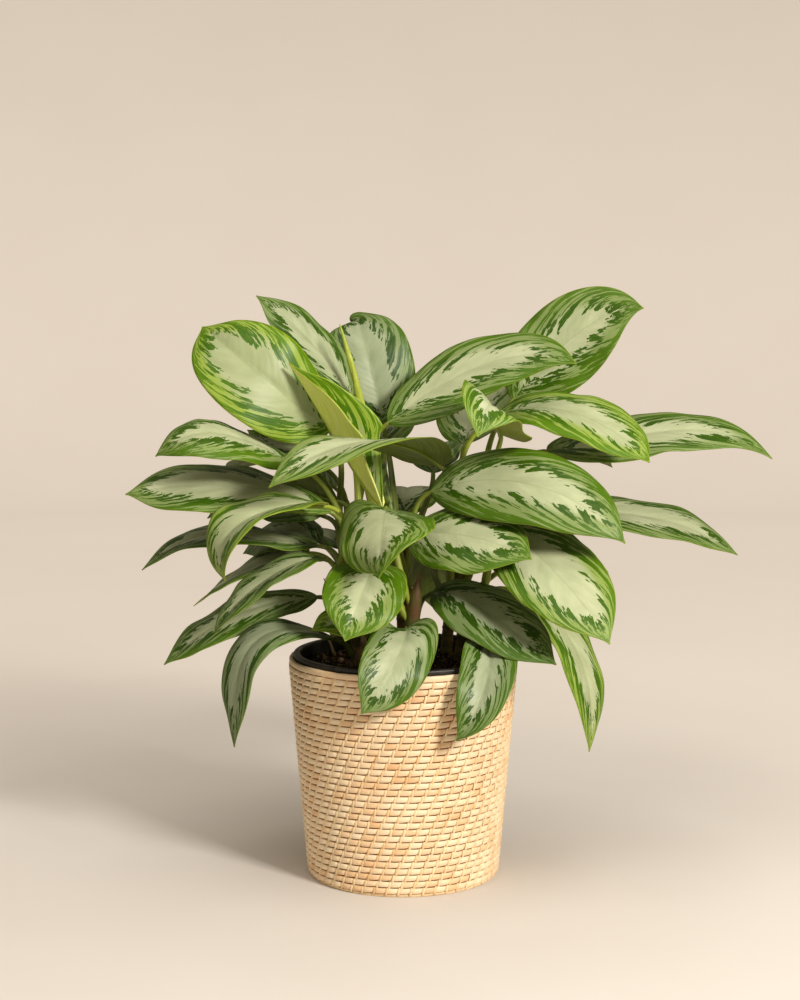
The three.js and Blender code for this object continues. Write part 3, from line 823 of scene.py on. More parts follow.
def bark_finish():
    """Green bark that browns in rings and blotches, with pale scars."""
    finish = Finish("cane_bark", Roughness=0.6)
    place = finish.object_place()
    height = finish.parts_of(place)[2]
    wobble = finish.noise(place, 60, 3)
    ring = finish.math("SINE", finish.add_times(wobble, 5.0, finish.times(height, math.tau / SCAR_SPACING)))
    fibres = finish.noise(finish.stretched(place, (500, 500, 60)), 1, 4)
    blotch = finish.noise(place, 90, 3)
    share = finish.add_times(fibres, 0.5, finish.times(blotch, 0.5))
    share = finish.add_times(ring, 0.05, share)
    greens = (0.3, 62, 58, 22), (0.48, 94, 88, 38)
    browns = (0.6, 128, 100, 56), (0.75, 170, 128, 84)
    colour = finish.tones(share, *greens, *browns)
    return finish.paint(Base_Color=colour, Normal=finish.bump(share, 0.0008))


def cane_radius_at(way, scar_shift):
    def radius(along, angle):
        place = along * way.lengths[-1] / SCAR_SPACING + scar_shift + SCAR_SLANT * math.cos(angle)
        ridge = max(math.cos(place * math.tau), 0) ** 8
        head = 1 - HEAD_TAPER * eased(along, 0.9, 1)
        return CANE_RADIUS * head * (BARK_BETWEEN + SCAR_RIDGE * ridge)
    return radius


bark = bark_finish()
for number, name in enumerate(CANES):
    way = cane_way(name)
    bm = bmesh.new()
    add_bar(bm, way, 96, 16, cane_radius_at(way, number * SCAR_SHIFT_PER_CANE))
    finished(bm, name + "_bark", [bark], [name])
    print(name, "is", round(way.lengths[-1], 3), "m long, with its root")

# %% [markdown]
# ## The leaves: one table and one formula
#
# Every leaf has the same build: a stalk, a midrib, and a blade with a round base and a drawn-out tip. What
# differs is where the midrib runs, which way the upper side looks, and how far the halves fold up and
# curl back. So a leaf is one line of a table, with four points along its midrib, and one formula makes
# all the blades. Sculpting forty-five leaves by hand would take days, and no two would match in style.
#
# The table gives lengths in millimetres and angles in degrees. The places are the packed model's own.

# %% How a leaf is noted down
WIDEST_AT = 0.42
TIP_BLUNTNESS = 5
LEAVES = []


def through_four(points):
    """The smooth curve through four points."""
    a, b, c, d = points
    first = (-5 * a + 18 * b - 9 * c + 2 * d) / 6
    second = (2 * a - 9 * b + 18 * c - 5 * d) / 6
    return Way(geometry.interpolate_bezier(a, first, second, d, 120))


def leaf(name, cane, height, width, fold, curl, fresh, silver, rib, face, **shape):
    """Note a leaf down, in metres and radians.

    height: where the stalk leaves its cane. fold: how steeply the halves rise from the midrib. curl: how
    far they bend back. fresh: 0 for an old, deep green leaf and 1 for a new, yellow-green one, and each
    leaf's value is also set to paint it lighter or darker, as painted light and shade for how the lamp
    falls on it. silver: how far the silver middle reaches to the margins, and a lower value also darkens a
    leaf as painted shade. rib: four points along the midrib, from the stalk to the tip. face: where the
    upper side looks at the stalk, and tip_face at the tip. widest: how far along the blade is widest.
    blunt: lower for a longer tip. lobe: how strongly the halves reach back past the stalk.
    bow: how far the stalk swings aside. stout: how thick the stalk is against the others.
    """
    LEAVES.append(dict(
        name=name, cane=cane, number=len(LEAVES), height=height * MM, width=width * MM,
        fold=math.radians(fold), curl=math.radians(curl),
        way=through_four([Vector(point) * MM for point in rib]),
        face=Vector(face), tip_face=Vector(shape.get("tip_face", face)),
        widest=shape.get("widest", WIDEST_AT), blunt=shape.get("blunt", TIP_BLUNTNESS),
        lobe=shape.get("lobe", 0) * MM, bow=Vector((*shape.get("bow", (0, 0)), 0)) * MM,
        fresh=fresh, silver=silver, stout=shape.get("stout", 1.0),
    ))


print("a blade is widest", WIDEST_AT, "of its length from the stalk, where the table doesn't say otherwise")

# %% The leaves of the left side, from the top down
# fresh and silver also hold painted light and shade: lower values darken a leaf, higher ones lighten it
# name, cane, height, width, fold, curl, fresh, silver, then the midrib, face, and what else differs
leaf("leaf_left_01", "cane_young", 352, 118, 6, 16, 0.92, 0.7,
     [(-85, 10, 533), (-135, -20, 571), (-187, -25, 615), (-239, 25, 653)], (0.15, -1, 0.35), widest=0.5)
leaf("leaf_left_02", "cane_back_left", 370, 72, 10, 25, 0.2, 0.75,
     [(-61, 36, 570), (-95, 40, 617), (-133, 44, 658), (-176, 46, 690)], (0.5, -0.65, 0.55))
leaf("leaf_left_03", "cane_middle", 385, 108, 8, 20, 0.05, 0.55,
     [(-24, 72, 535), (-36, 70, 591), (-51, 90, 646), (-63, 132, 656)], (0.1, -1, 0.25))
leaf("leaf_left_04", "cane_young", 376, 108, 60, -6, 1.0, 0.6,
     [(-25, -40, 443), (-66, -20, 501), (-98, -24, 556), (-132, -32, 611)], (0.72, -0.5, 0.51),
     widest=0.42, blunt=2.5, lobe=-60, stout=1.5)
leaf("leaf_left_05", "cane_back_right", 320, 90, 14, 26, 0.5, 0.65,
     [(45, 5, 489), (-13, -75, 522), (-82, -125, 518), (-149, -150, 477)], (0.1, 0.7, 0.7),
     tip_face=(-0.2, -0.75, 0.6))
leaf("leaf_left_06", "cane_young", 330, 92, 10, 40, 0.45, 0.35,
     [(-124, 2, 491), (-186, -43, 524), (-237, -68, 532), (-284, -73, 506)], (-0.1, -0.5, 0.85), widest=0.55)
leaf("leaf_left_07", "cane_left", 326, 98, 8, 26, 0.4, 0.75,
     [(-85, -8, 436), (-156, -25, 463), (-243, -38, 470), (-324, -38, 459)], (0, -0.35, 0.9),
     tip_face=(0, -0.6, 0.8), widest=0.55)
leaf("leaf_left_08", "cane_back_left", 330, 80, 10, 25, 0.05, 0.5,
     [(-98, 46, 426), (-145, 54, 438), (-192, 58, 442), (-239, 60, 420)], (0, -0.4, 0.9), bow=(-8, 6))
leaf("leaf_left_09", "cane_back_left", 360, 84, 10, 25, 0.2, 0.4,
     [(-89, 60, 528), (-126, 78, 563), (-164, 92, 569), (-196, 105, 536)], (0, -0.5, 0.85))
leaf("leaf_left_10", "cane_back_left", 352, 56, 14, 25, 0.3, 0.5,
     [(-79, 26, 445), (-103, 33, 452), (-127, 38, 463), (-154, 42, 476)], (-0.1, 0.85, 0.45))
leaf("leaf_left_11", "cane_young", 340, 98, 20, 20, 0.8, 0.75,
     [(-92, -60, 449), (-149, -105, 448), (-195, -130, 423), (-200, -130, 370)], (0.05, -0.05, 0.98),
     tip_face=(-0.75, -0.5, 0.4))
leaf("leaf_left_12", "cane_left", 300, 82, 12, 24, 0.25, 0.65,
     [(-101, 15, 393), (-173, 5, 405), (-241, -5, 406), (-310, -10, 366)], (0, -0.2, 0.95))
leaf("leaf_left_13", "cane_back_left", 296, 76, 12, 24, 0.7, 0.6,
     [(-114, 55, 379), (-165, 58, 369), (-213, 50, 345), (-255, 40, 315)], (0, -0.4, 0.9),
     tip_face=(0, 0.25, 1))
leaf("leaf_left_14", "cane_left", 290, 60, 20, 30, 0.2, 0.55,
     [(-92, -45, 385), (-134, -72, 378), (-182, -95, 347), (-216, -105, 304)], (-0.1, -0.22, 1))
leaf("leaf_left_15", "cane_left", 275, 84, 10, 26, 0.25, 0.55,
     [(-103, 10, 332), (-163, -8, 325), (-224, -22, 301), (-282, -35, 257)], (0, -0.3, 0.95))
leaf("leaf_left_16", "cane_left", 262, 68, 12, 26, 0.0, 0.7,
     [(-82, -38, 290), (-160, -90, 302), (-190, -106, 252), (-194, -104, 174)], (-0.2, -0.35, 0.85),
     tip_face=(-0.75, -0.55, 0.2))
leaf("leaf_left_17", "cane_front", 280, 56, 14, 24, 0.9, 0.5,
     [(-21, -40, 301), (-50, -60, 312), (-79, -75, 314), (-105, -85, 307)], (0, -0.6, 0.8))
leaf("leaf_left_18", "cane_back_left", 312, 84, 10, 26, 0.05, 0.4,
     [(-102, 74, 390), (-136, 86, 402), (-169, 98, 394), (-200, 110, 370)], (0, -0.4, 0.9))
leaf("leaf_left_19", "cane_back_left", 334, 80, 10, 26, 0.2, 0.4,
     [(-90, 74, 478), (-124, 80, 500), (-158, 88, 512), (-192, 95, 526)], (0, -0.4, 0.9))

# %% The leaves over the front and in the middle
leaf("leaf_front_01", "cane_front", 330, 120, 4, 40, 0.5, 0.5,
     [(-20, -75, 447), (-22, -112, 436), (-25, -150, 413), (-27, -180, 380)], (0.3, -0.5, 0.85),
     tip_face=(-1, -0.5, 0.3), blunt=3, lobe=90)
leaf("leaf_front_02", "cane_front", 308, 94, 10, 26, 0.6, 0.3,
     [(-38, -75, 381), (-41, -108, 366), (-52, -135, 340), (-65, -150, 305)], (0.05, -0.6, 0.8),
     tip_face=(0, -1, 0.3), blunt=4, lobe=35)
leaf("leaf_front_03", "cane_front", 268, 78, 14, 30, 0.2, 0.65,
     [(3, -90, 310), (0, -125, 298), (-17, -155, 267), (-47, -170, 227)], (-0.15, -0.75, 0.65),
     tip_face=(0.6, -0.7, 0.3), lobe=75)
leaf("leaf_middle_01", "cane_middle", 372, 66, 14, 24, 0.1, 0.5,
     [(36, 30, 478), (38, 70, 500), (44, 110, 508), (54, 152, 505)], (0, 0.1, 1))

# %% The leaves of the right side, from the top down
leaf("leaf_right_01", "cane_back_right", 370, 108, 14, 24, 0.4, 0.4,
     [(133, 70, 564), (185, 62, 622), (237, 50, 663), (286, 30, 675)], (-0.1, -0.9, 0.4))
leaf("leaf_right_02", "cane_middle", 352, 95, 10, 26, 0.35, 0.4,
     [(-18, 10, 540), (55, 5, 590), (130, -9, 619), (200, -44, 611)], (-0.1, -0.7, 0.7))
leaf("leaf_right_03", "cane_back_right", 360, 92, 12, 12, 0.7, 0.6,
     [(116, 0, 526), (108, -60, 548), (98, -105, 567), (82, -142, 533)], (0.36, 0.1, 0.85),
     tip_face=(0.35, -0.8, 0.55))
leaf("leaf_right_04", "cane_back_right", 340, 90, 10, 26, 0.8, 0.5,
     [(112, 30, 547), (170, 5, 558), (232, -25, 540), (284, -60, 498)], (-0.05, -0.5, 0.85),
     widest=0.5, bow=(-30, 20))
leaf("leaf_right_05", "cane_back_right", 334, 92, 10, 26, 0.3, 0.55,
     [(173, 40, 505), (262, 48, 519), (357, 40, 529), (441, 20, 496)], (0, -0.5, 0.85), blunt=3, bow=(10, 24))
leaf("leaf_right_06", "cane_back_right", 300, 88, 12, 26, 0.3, 0.75,
     [(174, 70, 435), (254, 75, 426), (330, 70, 414), (409, 60, 375)], (0, -0.4, 0.9))
leaf("leaf_right_07", "cane_middle", 350, 108, 8, 30, 0.35, 0.45,
     [(32, -15, 460), (106, -60, 478), (183, -100, 463), (249, -125, 412)], (0.05, -0.8, 0.6))
leaf("leaf_right_08", "cane_front", 318, 104, 10, 30, 0.4, 0.4,
     [(7, -35, 413), (54, -70, 417), (103, -100, 410), (144, -125, 394)], (0, -0.75, 0.65))
leaf("leaf_right_09", "cane_right", 335, 114, 8, 26, 0.65, 0.72,
     [(114, -25, 428), (151, -80, 397), (196, -130, 352), (229, -158, 303)], (0.25, -0.9, 0.4))
# leaf_right_10 and leaf_right_12 lie in shade, and their low fresh and silver are painted shade
leaf("leaf_right_10", "cane_front", 292, 92, 10, 26, 0.0, 0.4,
     [(34, -20, 341), (73, -50, 336), (125, -85, 307), (174, -110, 271)], (0.1, -0.6, 0.75))
leaf("leaf_right_11", "cane_right", 300, 80, 12, 26, 0.8, 0.75,
     [(131, 20, 338), (183, 8, 303), (219, 0, 238), (224, 0, 144)], (0.3, -0.4, 0.8),
     tip_face=(0.8, -0.5, 0.3))
leaf("leaf_right_12", "cane_right", 262, 66, 22, 16, 0.1, 0.45,
     [(94, -48, 280), (99, -98, 281), (88, -141, 242), (59, -152, 193)], (0.15, -0.7, 0.7),
     tip_face=(-0.2, -1, 0.2))

# %% The leaves at the back, which the picture doesn't show
leaf("leaf_back_01", "cane_back_left", 378, 104, 10, 26, 0.5, 0.5,
     [(-24, 110, 505), (-34, 165, 545), (-48, 220, 562), (-62, 270, 545)], (0, 0.3, 1), bow=(24, 8))
leaf("leaf_back_02", "cane_back_right", 378, 106, 10, 26, 0.4, 0.6,
     [(76, 125, 506), (92, 176, 552), (110, 224, 575), (130, 268, 560)], (0, 0.3, 1))
leaf("leaf_back_03", "cane_back_left", 304, 96, 10, 26, 0.3, 0.4,
     [(-84, 100, 455), (-135, 140, 480), (-185, 180, 485), (-232, 215, 462)], (0, 0.1, 1), bow=(-8, 6))
leaf("leaf_back_04", "cane_back_right", 342, 98, 10, 26, 0.5, 0.5,
     [(118, 105, 460), (170, 145, 490), (222, 182, 495), (272, 215, 470)], (0, 0.1, 1), bow=(10, 8))
leaf("leaf_back_05", "cane_middle", 345, 100, 10, 28, 0.3, 0.6,
     [(2, 105, 420), (4, 160, 445), (8, 215, 440), (14, 265, 400)], (0, 0.2, 1))
leaf("leaf_back_06", "cane_back_left", 288, 92, 10, 28, 0.2, 0.5,
     [(-72, 112, 375), (-112, 155, 395), (-150, 195, 385), (-182, 228, 345)], (-0.1, 0.2, 1))
leaf("leaf_back_07", "cane_back_right", 305, 92, 10, 28, 0.35, 0.4,
     [(88, 112, 380), (130, 155, 400), (168, 195, 388), (200, 228, 345)], (0.1, 0.2, 1))
leaf("leaf_back_08", "cane_back_left", 268, 86, 12, 28, 0.1, 0.6,
     [(-40, 100, 310), (-52, 150, 312), (-62, 188, 270), (-68, 205, 215)], (0, 0.5, 0.9),
     tip_face=(0, 1, 0.2))
leaf("leaf_back_09", "cane_back_right", 300, 92, 12, 28, 0.15, 0.5,
     [(34, 104, 366), (40, 150, 370), (46, 188, 336), (50, 208, 276)], (0, 0.5, 0.9), tip_face=(0.1, 1, 0.2))
leaf("leaf_back_10", "cane_back_right", 280, 86, 10, 26, 0.3, 0.55,
     [(140, 62, 370), (185, 95, 378), (228, 122, 362), (262, 142, 330)], (0, -0.1, 1))
print("leaves in the table:", len(LEAVES))

# %% [markdown]
# ## From a line of the table to a blade
#
# A blade starts as a flat grid. Its columns follow the blade from side to side and its rows from the
# stalk to the tip. The formula moves each point: the outline says how wide a row is, fold and curl bend
# it into an arc on each side of the midrib, and waves, a channel over the midrib and pressed-in side
# veins are added on top. Solidify then gives the sheet its thickness.

# %% The blade's formula
BLADE_END_WIDTH = 0.002
BASE_ROUNDNESS = 0.6
WAVE_HEIGHT = 0.002
WAVES_PER_BLADE = 2.5
WAVE_LAG_ACROSS = 0.25
WAVE_LAG_PER_LEAF = 0.37
RUFFLE_SHARE = 1.2
RIB_CHANNEL_DEPTH = 0.0007
RIB_CHANNEL_WIDTH = 0.003
SIDE_VEINS = 13
VEIN_SLANT = 0.18
VEIN_BEND = 0.3
VEIN_HEIGHT = 0.00012


def outline(leaf, along):
    """The half width as a share of the widest, from a round base to a drawn-out tip."""
    widest = leaf["widest"]
    if along < widest:
        return (1 - (1 - along / widest) ** 2) ** BASE_ROUNDNESS
    beyond = (along - widest) / (1 - widest)
    return math.sqrt(max(1 - beyond * beyond, 0)) * (1 - beyond ** leaf["blunt"])


def rib_frame(leaf, share):
    """A point on the midrib, the way along it, its right side and its upper side."""
    along = leaf["way"].along(share)
    face = leaf["face"].lerp(leaf["tip_face"], share)
    side = along.cross(face).normalized()
    return leaf["way"].at(share), along, side, side.cross(along)


def blade_row(leaf, share):
    """Everything that the points of one row share."""
    point, along, side, up = rib_frame(leaf, share)
    shape = outline(leaf, share)
    half = lerp(BLADE_END_WIDTH / 2, leaf["width"] / 2, shape)
    back = along * leaf["lobe"] * shape * max(1 - share / WIDEST_AT, 0)
    return point, side, up, back, shape, half


def blade_point(leaf, row, share, out):
    """A point of the blade: share runs from the stalk to the tip, and out from -1 to 1 across it."""
    point, side, up, back, shape, half = row
    fold, curl, away = leaf["fold"], leaf["curl"], abs(out)
    reach = half * (math.sin(fold) - math.sin(fold - curl * away)) / curl
    lift = half * (math.cos(fold - curl * away) - math.cos(fold)) / curl
    lag = (leaf["number"] * WAVE_LAG_PER_LEAF) % 1 + (WAVE_LAG_ACROSS if out < 0 else 0)
    wave = math.sin(math.tau * (WAVES_PER_BLADE * share + lag))
    ruffle = noise.noise(Vector((share * 9, out * 1.5, leaf["number"] * 3.7)))
    lift += WAVE_HEIGHT * away**2 * shape * (wave + RUFFLE_SHARE * ruffle * away)
    lift -= RIB_CHANNEL_DEPTH * min(shape * 2, 1) * math.exp(-((half * away / RIB_CHANNEL_WIDTH) ** 2))
    vein = share - VEIN_SLANT * away - VEIN_BEND * away**3
    lift += VEIN_HEIGHT * shape * math.sin(vein * math.tau * SIDE_VEINS) * math.sin(math.pi * min(away, 1))
    return point + side * math.copysign(reach, out) + up * lift - back * away**2


print("at a tenth of its length a blade has", round(outline(LEAVES[0], 0.1), 2), "of its full width")

# %% Make a blade
BLADE_THICKNESS = 0.0008
BLADE_ROWS = 76
BLADE_COLUMNS = 30
STRAY = 0.004


def row_place(even):
    """Rows stand closer together at both ends of the blade, where its outline turns fastest."""
    return (even + (1 - math.cos(math.pi * even)) / 2) / 2


def pull_in_strays(bm):
    """Solidify can throw a point far out of a tight fold. Such a point goes back among its neighbours."""
    def middle_of(vertex):
        around = [edge.other_vert(vertex).co for edge in vertex.link_edges]
        return sum(around, Vector()) / len(around)

    while True:
        worst = max(bm.verts, key=lambda vertex: (vertex.co - middle_of(vertex)).length)
        if (worst.co - middle_of(worst)).length < STRAY:
            return
        worst.co = middle_of(worst)


def add_blade(bm, leaf):
    """The sheet of a blade with its two sides. The upper side has material 0, the lower one 1."""
    rows = {}
    from_margin = []

    def place(even, across):
        share = row_place(even)
        number = round(even * BLADE_ROWS)
        if number not in rows:
            rows[number] = blade_row(leaf, share)
        shape = rows[number][4]
        out = across * 2 - 1
        from_margin.append((1 - abs(out)) * shape)
        return blade_point(leaf, rows[number], share, out)

    verts = placed_grid(bm, BLADE_ROWS, BLADE_COLUMNS, place)
    from_edge = bm.verts.layers.float["from_edge"]
    for vertex, distance in zip(verts, from_margin):
        vertex[from_edge] = distance
    faces = faces_of(verts)
    bm.normal_update()
    up = rib_frame(leaf, 0.5)[3]
    if sum(face.normal.dot(up) for face in faces) < 0:
        bmesh.ops.reverse_faces(bm, faces=faces)
    for part in bmesh.ops.solidify(bm, geom=faces, thickness=BLADE_THICKNESS)["geom"]:
        if isinstance(part, bmesh.types.BMFace):
            part.material_index = 1
    pull_in_strays(bm)


print("each side of a blade has", BLADE_ROWS * BLADE_COLUMNS, "faces")

# %% [markdown]
# ## The stalks
#
# A blade hangs on a long stalk that clasps its cane, bows outwards and up, and runs on under the blade as
# its midrib. Its lower half is a sheath with a groove on the side of the cane. Stalk and midrib are one
# bar with a changing thickness, so there is no joint to hide where the blade begins.

# %% Make a stalk
STALK_RADIUS = 0.0029
STALK_SPREAD = 0.16
STALK_RISE = 0.42
STALK_LEAD = 0.35
STALK_SUNK = 0.55
STALK_FOOT_SHARE = 1.35
STALK_SHEATH_SHARE = 0.65
STALK_HEAD_SHARE = 0.95
STALK_ROOT_SHARE = 0.4
RIB_STEPS = 24
RIB_REACH = 0.9
RIB_SUNK = 0.85


def rib_radius(share):
    """The midrib under the blade grows thinner towards the tip."""
    return STALK_RADIUS * lerp(0.8, 0.12, min(share / RIB_REACH, 1) ** 0.7)


def stalk_way(leaf):
    """The whole way from the cane to near the tip, and the share of it that lies before the blade."""
    cane = cane_way(leaf["cane"])
    root = min((cane.at(step / 60) for step in range(61)), key=lambda point: abs(point.z - leaf["height"]))
    base, along, _, up = rib_frame(leaf, 0)
    reach = (base - root).length
    away = Vector((base.x - root.x, base.y - root.y, 0)).normalized()
    root = root + away * CANE_RADIUS / 2
    rise = root + away * reach * STALK_SPREAD + leaf["bow"] + Vector((0, 0, reach * STALK_RISE))
    lead = base - along * reach * STALK_LEAD
    stalk = geometry.interpolate_bezier(root, rise, lead, base, 40)
    sunk = STALK_RADIUS * STALK_SUNK
    points = [point - up * sunk * eased(step / 39, 0.5, 1) for step, point in enumerate(stalk)]
    stalk_length = sum((second - first).length for first, second in zip(points, points[1:]))
    for step in range(1, RIB_STEPS + 1):
        share = step / RIB_STEPS * RIB_REACH
        point, _, _, up = rib_frame(leaf, share)
        points.append(point - up * (rib_radius(share) * RIB_SUNK + BLADE_THICKNESS + RIB_CHANNEL_DEPTH / 2))
    way = Way(points)
    return way, stalk_length / way.lengths[-1]


def add_stalk(bm, leaf):
    """The stalk and the midrib as one bar with material 2."""
    way, stalk_share = stalk_way(leaf)

    def radius(along, angle):
        if along > stalk_share:
            return rib_radius((along - stalk_share) / (1 - stalk_share) * RIB_REACH)
        here = along / stalk_share
        sheath = 1 - eased(here, 0.1, 0.6)
        groove = 1 - (0.15 + 0.3 * sheath) * max(math.sin(angle), 0) ** 5
        foot = STALK_FOOT_SHARE + STALK_SHEATH_SHARE * sheath
        thick = lerp(foot, STALK_HEAD_SHARE, eased(here, 0.5, 1))
        rooted = lerp(STALK_ROOT_SHARE, 1, eased(here, 0, 0.2))
        return STALK_RADIUS * thick * groove * rooted * lerp(leaf["stout"], 1, eased(here, 0.8, 1))

    add_bar(bm, way, 64, 12, radius, rib_frame(leaf, 0)[3], material=2)


print("a midrib starts", round(rib_radius(0) * 2000, 1), "mm thick and ends", round(rib_radius(1) * 2000, 1))

# %% [markdown]
# ## The finish of a leaf
#
# The upper side is a silver sage green, with deep green along the margins. The green comes inwards in
# ragged streaks that follow the side veins: these leave the midrib at an angle and bend towards the tip
# until they run almost along the margin. So the finish first works out which vein a point belongs to.
# Noise drawn out along that value makes streaks that bend as the veins do, and blocky cells notch their
# ends. How much of the noise turns green depends on how far the point is from the margin, which each
# leaf's mesh carries as an attribute, because the same share of a narrow tip is much closer to its edge.
#
# Painting the pattern by hand on forty-five leaves is the other way. It would need image files, and the
# pattern would stay as coarse as its pixels.

# %% Where a point of a blade lies among its side veins
def blade_place(finish):
    """How far along the blade and to which side a point lies, how far out, and at which side vein."""
    along, across = finish.sheet_place()
    signed = finish.add_times(across, 2, -1)
    out = finish.math("ABSOLUTE", signed)
    bend = finish.add_times(finish.math("POWER", out, 3), VEIN_BEND, finish.times(out, VEIN_SLANT))
    return along, signed, out, finish.minus(along, bend)


def vein_ripple(finish, vein):
    """Lines that are pressed into the surface, two for each side vein."""
    return finish.math("SINE", finish.times(vein, math.tau * SIDE_VEINS * 2))


def streaks(finish, lane):
    """Ragged noise from streaks of three widths and blocky notches, with two of them on their own."""
    broad = finish.noise(lane(17, 1.8), 1)
    short = finish.noise(lane(34, 6), 1)
    fine = finish.noise(lane(70, 10), 1)
    notch = finish.parts_of(finish.cells(lane(60, 13), 1))[0]
    rough = finish.add_times(broad, 0.75, finish.times(short, 0.3))
    rough = finish.add_times(notch, 0.13, finish.add_times(fine, 0.1, rough))
    return finish.minus(rough, 0.14), short, fine


print("the finish follows", SIDE_VEINS, "side veins on each half")

# %% The upper side
NEED_BY_REACH = [
    (0.0, 0.44), (0.05, 0.49), (0.18, 0.515), (0.3, 0.49),
    (0.42, 0.475), (0.52, 0.54), (0.6, 0.64), (0.75, 0.8),
]


def silver_tones(finish, haze, fresh):
    """The silver middle: greyer on an old leaf, palest on a young one, and yellower on the freshest, whose
    darker tone is painted shade.
    """
    old = finish.tones(haze, (0.3, 136, 147, 112), (0.55, 152, 162, 128), (0.8, 168, 176, 144))
    young = finish.tones(haze, (0.3, 170, 179, 136), (0.55, 186, 193, 151), (0.8, 202, 207, 169))
    newest_yellow_and_shaded = finish.tones(haze, (0.3, 150, 160, 112), (0.55, 162, 172, 124), (0.8, 176, 184, 140))
    pale = finish.mix(finish.band(fresh, 0, 0.4), old, young)
    return finish.mix(finish.band(fresh, 0.65, 1), pale, newest_yellow_and_shaded)


def green_tones(finish, fine, fresh, reach):
    """The deep green of the streaks, which is a little lighter close to the margin."""
    old = finish.tones(fine, (0.3, 30, 56, 2), (0.7, 54, 86, 4))
    new = finish.tones(fine, (0.3, 56, 94, 0), (0.7, 82, 122, 0))
    lighter = finish.mix(fresh, tone(78, 112, 12), tone(106, 146, 0))
    return finish.mix(finish.times(finish.band(reach, 0.3, 0.02), 0.55), finish.mix(fresh, old, new), lighter)


def leaf_upper():
    """Silver in the middle, and deep green in streaks from the margins."""
    finish = Finish("leaf_upper", Roughness=0.44, Specular_IOR_Level=0.3)
    along, signed, out, vein = blade_place(finish)
    seed = finish.math("ADD", finish.attribute("leaf_seed"), finish.times(finish.math("SIGN", signed), 4.3))
    wander = finish.noise(finish.vector(finish.times(along, 9), finish.times(signed, 3), seed), 1, 1)
    vein = finish.add_times(wander, 0.03, vein)
    from_edge = finish.attribute("from_edge")
    # the leaf's age, which per leaf also carries its painted light and shade
    fresh = finish.attribute("fresh")

    def lane(across_veins, along_veins):
        """Noise space drawn out along the veins."""
        return finish.vector(finish.times(vein, across_veins), finish.times(out, along_veins), seed)

    rough, short, fine = streaks(finish, lane)
    haze = finish.noise(lane(9, 2), 1, 3)

    # how far the green reaches in, by the distance from the margin
    reach = finish.add_times(finish.attribute("silver"), 0.45, finish.minus(from_edge, 0.31))
    reach = finish.add_times(finish.noise(lane(3, 0.5), 1, 1), 0.4, finish.minus(reach, 0.2))
    need = finish.parts_of(finish.ramp(reach, NEED_BY_REACH))[0]
    green = finish.band(finish.minus(rough, need), -0.003, 0.006)

    # the zone of the margin has a light green ground that fades into the silver
    zone = finish.band(finish.add_times(rough, 0.5, finish.minus(0.25, reach)), -0.06, 0.25)
    middling = finish.mix(finish.math("POWER", fresh, 1.6), tone(116, 136, 80), tone(150, 176, 48))
    ground = finish.mix(finish.times(zone, 0.9), silver_tones(finish, haze, fresh), middling)
    colour = finish.mix(green, ground, green_tones(finish, fine, fresh, reach))

    # a paler midrib and rim
    colour = finish.mix(finish.times(finish.band(out, 0.03, 0.008), 0.2), colour, tone(128, 142, 84))
    rim = finish.mix(fresh, tone(108, 130, 30), tone(160, 178, 30))
    colour = finish.mix(finish.times(finish.band(from_edge, 0.022, 0.008), 0.8), colour, rim)
    height = finish.add_times(vein_ripple(finish, vein), 0.12, finish.add_times(short, 0.3, haze))
    return finish.paint(Base_Color=colour, Normal=finish.bump(height, 0.0003))


upper_skin = leaf_upper()
print("the upper side takes", len(upper_skin.node_tree.nodes), "nodes")

# %% [markdown]
# ## The lower side and the stalk
#
# Below, a blade is plain green and lighter along its veins, and the youngest leaves are a bright
# yellow-green there, so near white that it is partly painted light shining through the young blade. The
# stalk is waxy and faintly streaked along its length. Both use the leaf's own freshness, which also carries
# its painted light and shade, so one finish each serves every leaf.

# %% The lower side and the stalk
def leaf_lower():
    finish = Finish("leaf_lower", Roughness=0.5)
    out, vein = blade_place(finish)[2:]
    lane = finish.vector(finish.times(vein, 20), finish.times(out, 3), finish.attribute("leaf_seed"))
    share = finish.add_times(vein_ripple(finish, vein), 0.06, finish.noise(lane, 1, 3))
    old = finish.tones(share, (0.3, 62, 78, 14), (0.7, 92, 108, 34))
    # the near-white yellow of young undersides is partly painted light shining through the blade
    new = finish.tones(share, (0.3, 236, 244, 104), (0.7, 250, 252, 156))
    newness = finish.math("POWER", finish.attribute("fresh"), 3)
    return finish.paint(Base_Color=finish.mix(newness, old, new), Normal=finish.bump(share, 0.0004))


def stalk_finish():
    finish = Finish("leaf_stalk", Roughness=0.42)
    along, across = finish.sheet_place()
    lane = finish.vector(finish.times(along, 9), finish.times(across, 26), finish.attribute("leaf_seed"))
    streaked = finish.noise(lane, 1, 3)
    old = finish.tones(streaked, (0.3, 70, 84, 22), (0.7, 112, 122, 48))
    new = finish.tones(streaked, (0.3, 150, 170, 36), (0.7, 186, 196, 74))
    colour = finish.mix(finish.attribute("fresh"), old, new)
    return finish.paint(Base_Color=colour, Normal=finish.bump(streaked, 0.0004))


leaf_skins = [upper_skin, leaf_lower(), stalk_finish()]
print("finishes of a leaf:", [skin.name for skin in leaf_skins])

# %% Make all the leaves
SEED_PER_LEAF = 1.7


def make_leaf(leaf):
    """Blade and stalk in one mesh, which carries what the finishes read from it."""
    bm = bmesh.new()
    for name in ("from_edge", "leaf_seed", "fresh", "silver"):
        bm.verts.layers.float.new(name)
    bm.loops.layers.uv.new("UVMap")
    add_blade(bm, leaf)
    add_stalk(bm, leaf)
    own = {"leaf_seed": leaf["number"] * SEED_PER_LEAF, "fresh": leaf["fresh"], "silver": leaf["silver"]}
    for name, value in own.items():
        layer = bm.verts.layers.float[name]
        for vertex in bm.verts:
            vertex[layer] = value
    finished(bm, leaf["name"] + "_blade", leaf_skins, [leaf["name"]])


for noted in LEAVES:
    make_leaf(noted)
print("leaves made:", len(LEAVES))

